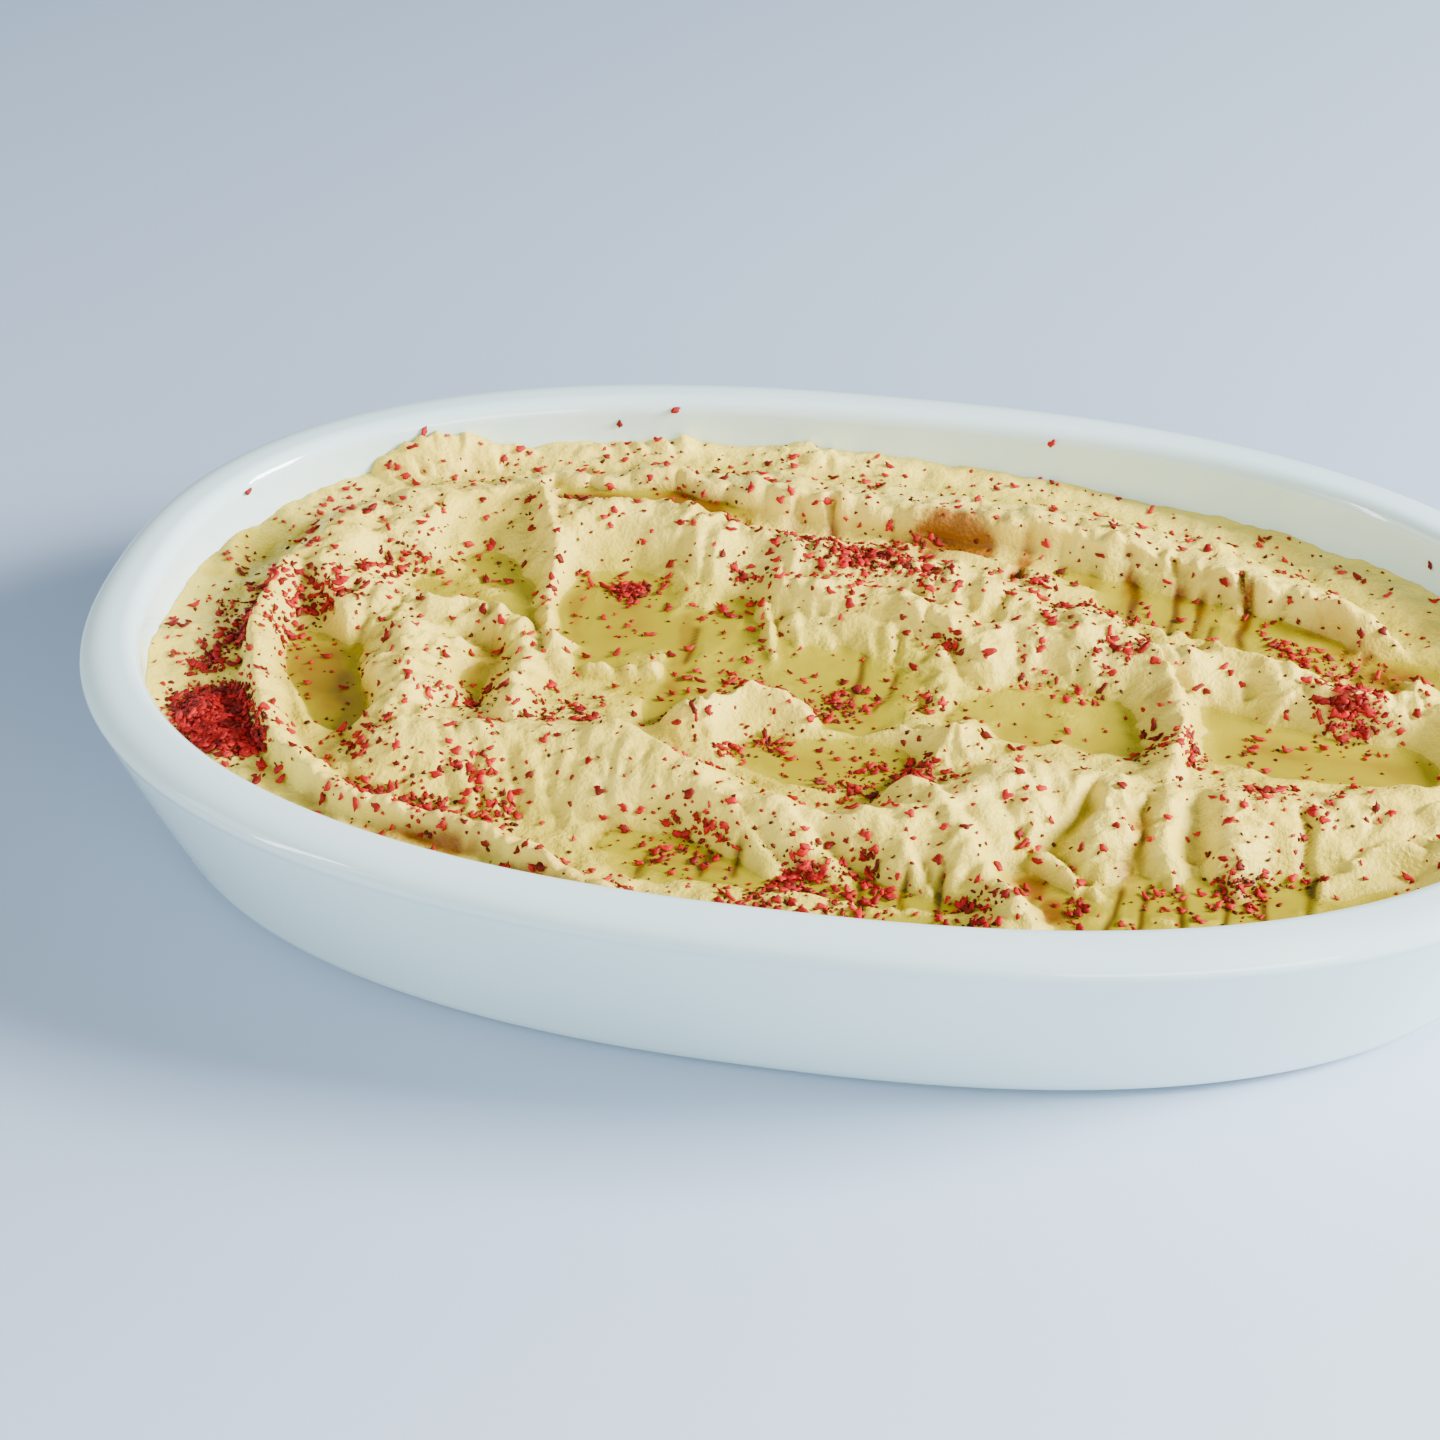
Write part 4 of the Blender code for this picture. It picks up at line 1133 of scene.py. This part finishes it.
def sprinkleBed():
    # a coarse sheet over paste and oil, with the flakes wanted per square metre
    step = sprinkle["bedStep"]
    surface = np.maximum(gridZ, spread(levels, 1))
    x, y, z = (field[::step, ::step] for field in (gridX, gridY, surface))
    reach = 90
    leftwards = np.clip((reach - x) / (2 * reach), 0, 1)
    density = sprinkle["anywhere"] + sprinkle["anywhereLeft"] * leftwards + pepperDrift(x, y)
    density = density * within(x, y, *sprinkle["within"])
    faces = gridFaces(np.arange(z.size).reshape(z.shape)).tolist()
    bed = addPiece("sprinkle_bed", gridVerts(x, y, z).tolist(), faces)
    writeAttribute(bed, "density", density / mm ** 2)
    return bed


def variant(name, mesh):
    data = bpy.data.meshes.new(name)
    mesh.to_mesh(data)
    mesh.free()
    data.shade_smooth()
    return bpy.data.objects.new(name, data)


def flake(name, seed, stretch):
    # a torn scrap of skin one millimetre across, thin and curled along its length
    random = np.random.RandomState(seed)
    count = 11
    angles = (np.arange(count) + 0.5 * random.rand(count)) / count * 2 * math.pi
    reach = 0.5 * (1 - 0.6 * random.rand(count))
    outline = np.column_stack([reach * np.cos(angles) * stretch, reach * np.sin(angles) / stretch])
    curl = 0.25 + 0.4 * random.rand()
    mesh = bmesh.new()
    rings = []
    for height, share in ((0.0, 0.85), (0.09, 1.0), (0.17, 0.55)):
        rings.append([mesh.verts.new((x * share, y * share, height + curl * x * x)) for x, y in outline])
    for lower, upper in zip(rings, rings[1:]):
        for face in band(lower, upper):
            mesh.faces.new(face)
    mesh.faces.new(rings[0][::-1])
    mesh.faces.new(rings[-1])
    return variant(name, mesh)


def crumb(name, seed, stretch):
    # a ground speck with twenty faces, one millimetre across
    mesh = bmesh.new()
    bmesh.ops.create_icosphere(mesh, subdivisions=1, radius=0.5)
    random = np.random.RandomState(seed)
    for vert in mesh.verts:
        vert.co *= 1 + 0.7 * (random.rand() - 0.5)
        vert.co.x *= stretch
        vert.co.z *= 0.4
    return variant(name, mesh)


def scatterTree():
    # strews a collection's shapes over a sheet, as thickly as its density attribute says
    numbers = dict.fromkeys(("Share", "Smallest", "Largest", "Tilt", "Lift"), "Float")
    tree, given, result = newGroup(
        "strew", "GeometryNodeTree",
        {"Geometry": "Geometry", "Shapes": "Collection", **numbers, "Seed": "Int", "Material": "Material"},
        {"Geometry": "Geometry"})

    def add(kind, inputs, **settings):
        return addNode(tree, kind, inputs, **settings)

    density = add("GeometryNodeInputNamedAttribute", {"Name": "density"}, data_type="FLOAT")
    points = add("GeometryNodeDistributePointsOnFaces", {
        "Mesh": given["Geometry"], "Density": calculate(tree, "MULTIPLY", density, given["Share"]),
        "Seed": given["Seed"]})
    variants = add("GeometryNodeCollectionInfo", {
        "Collection": given["Shapes"], "Separate Children": True, "Reset Children": True})
    tilt = add("ShaderNodeCombineXYZ", {"X": given["Tilt"], "Y": given["Tilt"], "Z": math.pi})
    untilt = add("ShaderNodeVectorMath", {0: tilt, "Scale": -1}, operation="SCALE")
    spin = add("FunctionNodeRandomValue", {"Min": untilt, "Max": tilt}, data_type="FLOAT_VECTOR")
    turn = add("FunctionNodeRotateRotation", {"Rotation": points.outputs["Rotation"], "Rotate By": spin},
               rotation_space="LOCAL")
    size = add("FunctionNodeRandomValue", {"Min": given["Smallest"], "Max": given["Largest"]},
               data_type="FLOAT")
    copies = add("GeometryNodeInstanceOnPoints", {
        "Points": points, "Instance": variants, "Pick Instance": True, "Rotation": turn, "Scale": size})
    lift = add("ShaderNodeCombineXYZ", {"Z": given["Lift"]})
    raised = add("GeometryNodeTranslateInstances", {
        "Instances": copies, "Translation": lift, "Local Space": True})
    tone = add("FunctionNodeRandomValue", {"Seed": sprinkle["toneSeed"]}, data_type="FLOAT")
    mark = add("GeometryNodeStoreNamedAttribute", {"Geometry": raised, "Name": "tone", "Value": tone},
               data_type="FLOAT", domain="INSTANCE")
    realized = add("GeometryNodeRealizeInstances", {"Geometry": mark})
    painted = add("GeometryNodeSetMaterial", {"Geometry": realized, "Material": given["Material"]})
    setInputs(tree, result, {"Geometry": painted})
    return tree


def scatter(name, bed, tree, settings):
    holder = newObject(name, bed.data)
    modifier = holder.modifiers.new("scatter", "NODES")
    modifier.node_group = tree
    for item in tree.interface.items_tree:
        if item.in_out == "INPUT" and item.name in settings:
            modifier[item.identifier] = settings[item.name]
    graph = bpy.context.evaluated_depsgraph_get()
    data = bpy.data.meshes.new_from_object(holder.evaluated_get(graph))
    data.name = name
    bpy.data.objects.remove(holder)
    return newObject(name, data)


def pepperFinish(tree, darkest, middle, brightest):
    shade = colourRamp(tree, attribute(tree, "tone"), [(0, darkest), (0.45, middle), (1, brightest)])
    skin = mottle(tree, *sprinkle["skin"])
    return {"Base Color": mix(tree, 1, shade, skin, blend_type="MULTIPLY"), **sprinkle["finish"]}


def shapes(name, make, count):
    # a collection of variants, which isn't part of the scene
    collection = bpy.data.collections.new(name)
    for number in range(count):
        collection.objects.link(make(f"{name}{number}", 30 + number, 1.0 + 0.07 * number))
    return collection


finishDip()
print("dip finished")
bed = sprinkleBed()
tree = scatterTree()
redPepper = newMaterial("red pepper", pepperFinish, *sprinkle["red"])
darkPepper = newMaterial("dark pepper", pepperFinish, *sprinkle["dark"])
flakes = scatter("pepper_flakes", bed, tree, {
    "Shapes": shapes("flake", flake, 8), "Share": 1.15, "Smallest": 0.7 * mm, "Largest": 2.2 * mm,
    "Tilt": 0.3, "Lift": 0.05, "Seed": sprinkle["seed"], "Material": redPepper})
specks = scatter("pepper_specks", bed, tree, {
    "Shapes": shapes("crumb", crumb, 5), "Share": 2.1, "Smallest": 0.35 * mm, "Largest": 0.85 * mm,
    "Tilt": 0.8, "Lift": 0.1, "Seed": sprinkle["seed"] + 1, "Material": darkPepper})
bpy.data.objects.remove(bed)

# flakes that fell on the dish's inner wall: x, y, z in millimetres
strays = [
    (-92.9, 22.9, 30), (-75.9, 48.1, 30), (-45.3, 58.8, 28), (-36.9, 61.7, 30.5), (25.7, 64, 30),
    (78.1, 37.8, 27),
]


def wallSpot(x, y, z):
    # the point of the inner wall beside (x, y) at that height, and the way that the wall faces there
    inside = dishShape["points"]["rim"] + dishShape["points"]["inside"]
    section = np.array(dishSection()[-inside:])[::-1]
    step = 0.5
    inset, lower = np.interp((z, z - step), section[:, 1], section[:, 0])
    spot = Vector((x, y, 0)) / wayOut(x, y, inset)
    facing = -spot.normalized() + Vector((0, 0, (lower - inset) / step))
    return Vector((spot.x, spot.y, z)) * mm, facing.normalized()


def strayFlakes():
    verts, faces, tones = [], [], []
    for number, place in enumerate(strays):
        scrap = flake("stray", 50 + number, 1.2).data
        spot, facing = wallSpot(*place)
        turn = facing.to_track_quat("Z", "Y").to_matrix() @ Matrix.Rotation(number, 3, "Z")
        start = len(verts)
        verts += [tuple(spot + turn @ (vert.co * sprinkle["strayFlake"] * mm)) for vert in scrap.vertices]
        faces += [tuple(start + index for index in face.vertices) for face in scrap.polygons]
        tones += [(0.3 + 0.37 * number) % 1] * len(scrap.vertices)
    piece = addPiece("stray_flakes", verts, faces)
    writeAttribute(piece, "tone", np.array(tones))
    piece.data.materials.append(redPepper)
    return piece


strayed = strayFlakes()
print("flakes", len(flakes.data.polygons), "specks", len(specks.data.polygons))


# The pieces joined to the root body, and the frame's dish and dip hidden

for piece in (dish, dip, oil, flakes, specks, strayed):
    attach(piece, "root")
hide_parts("dish")
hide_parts("hummus")
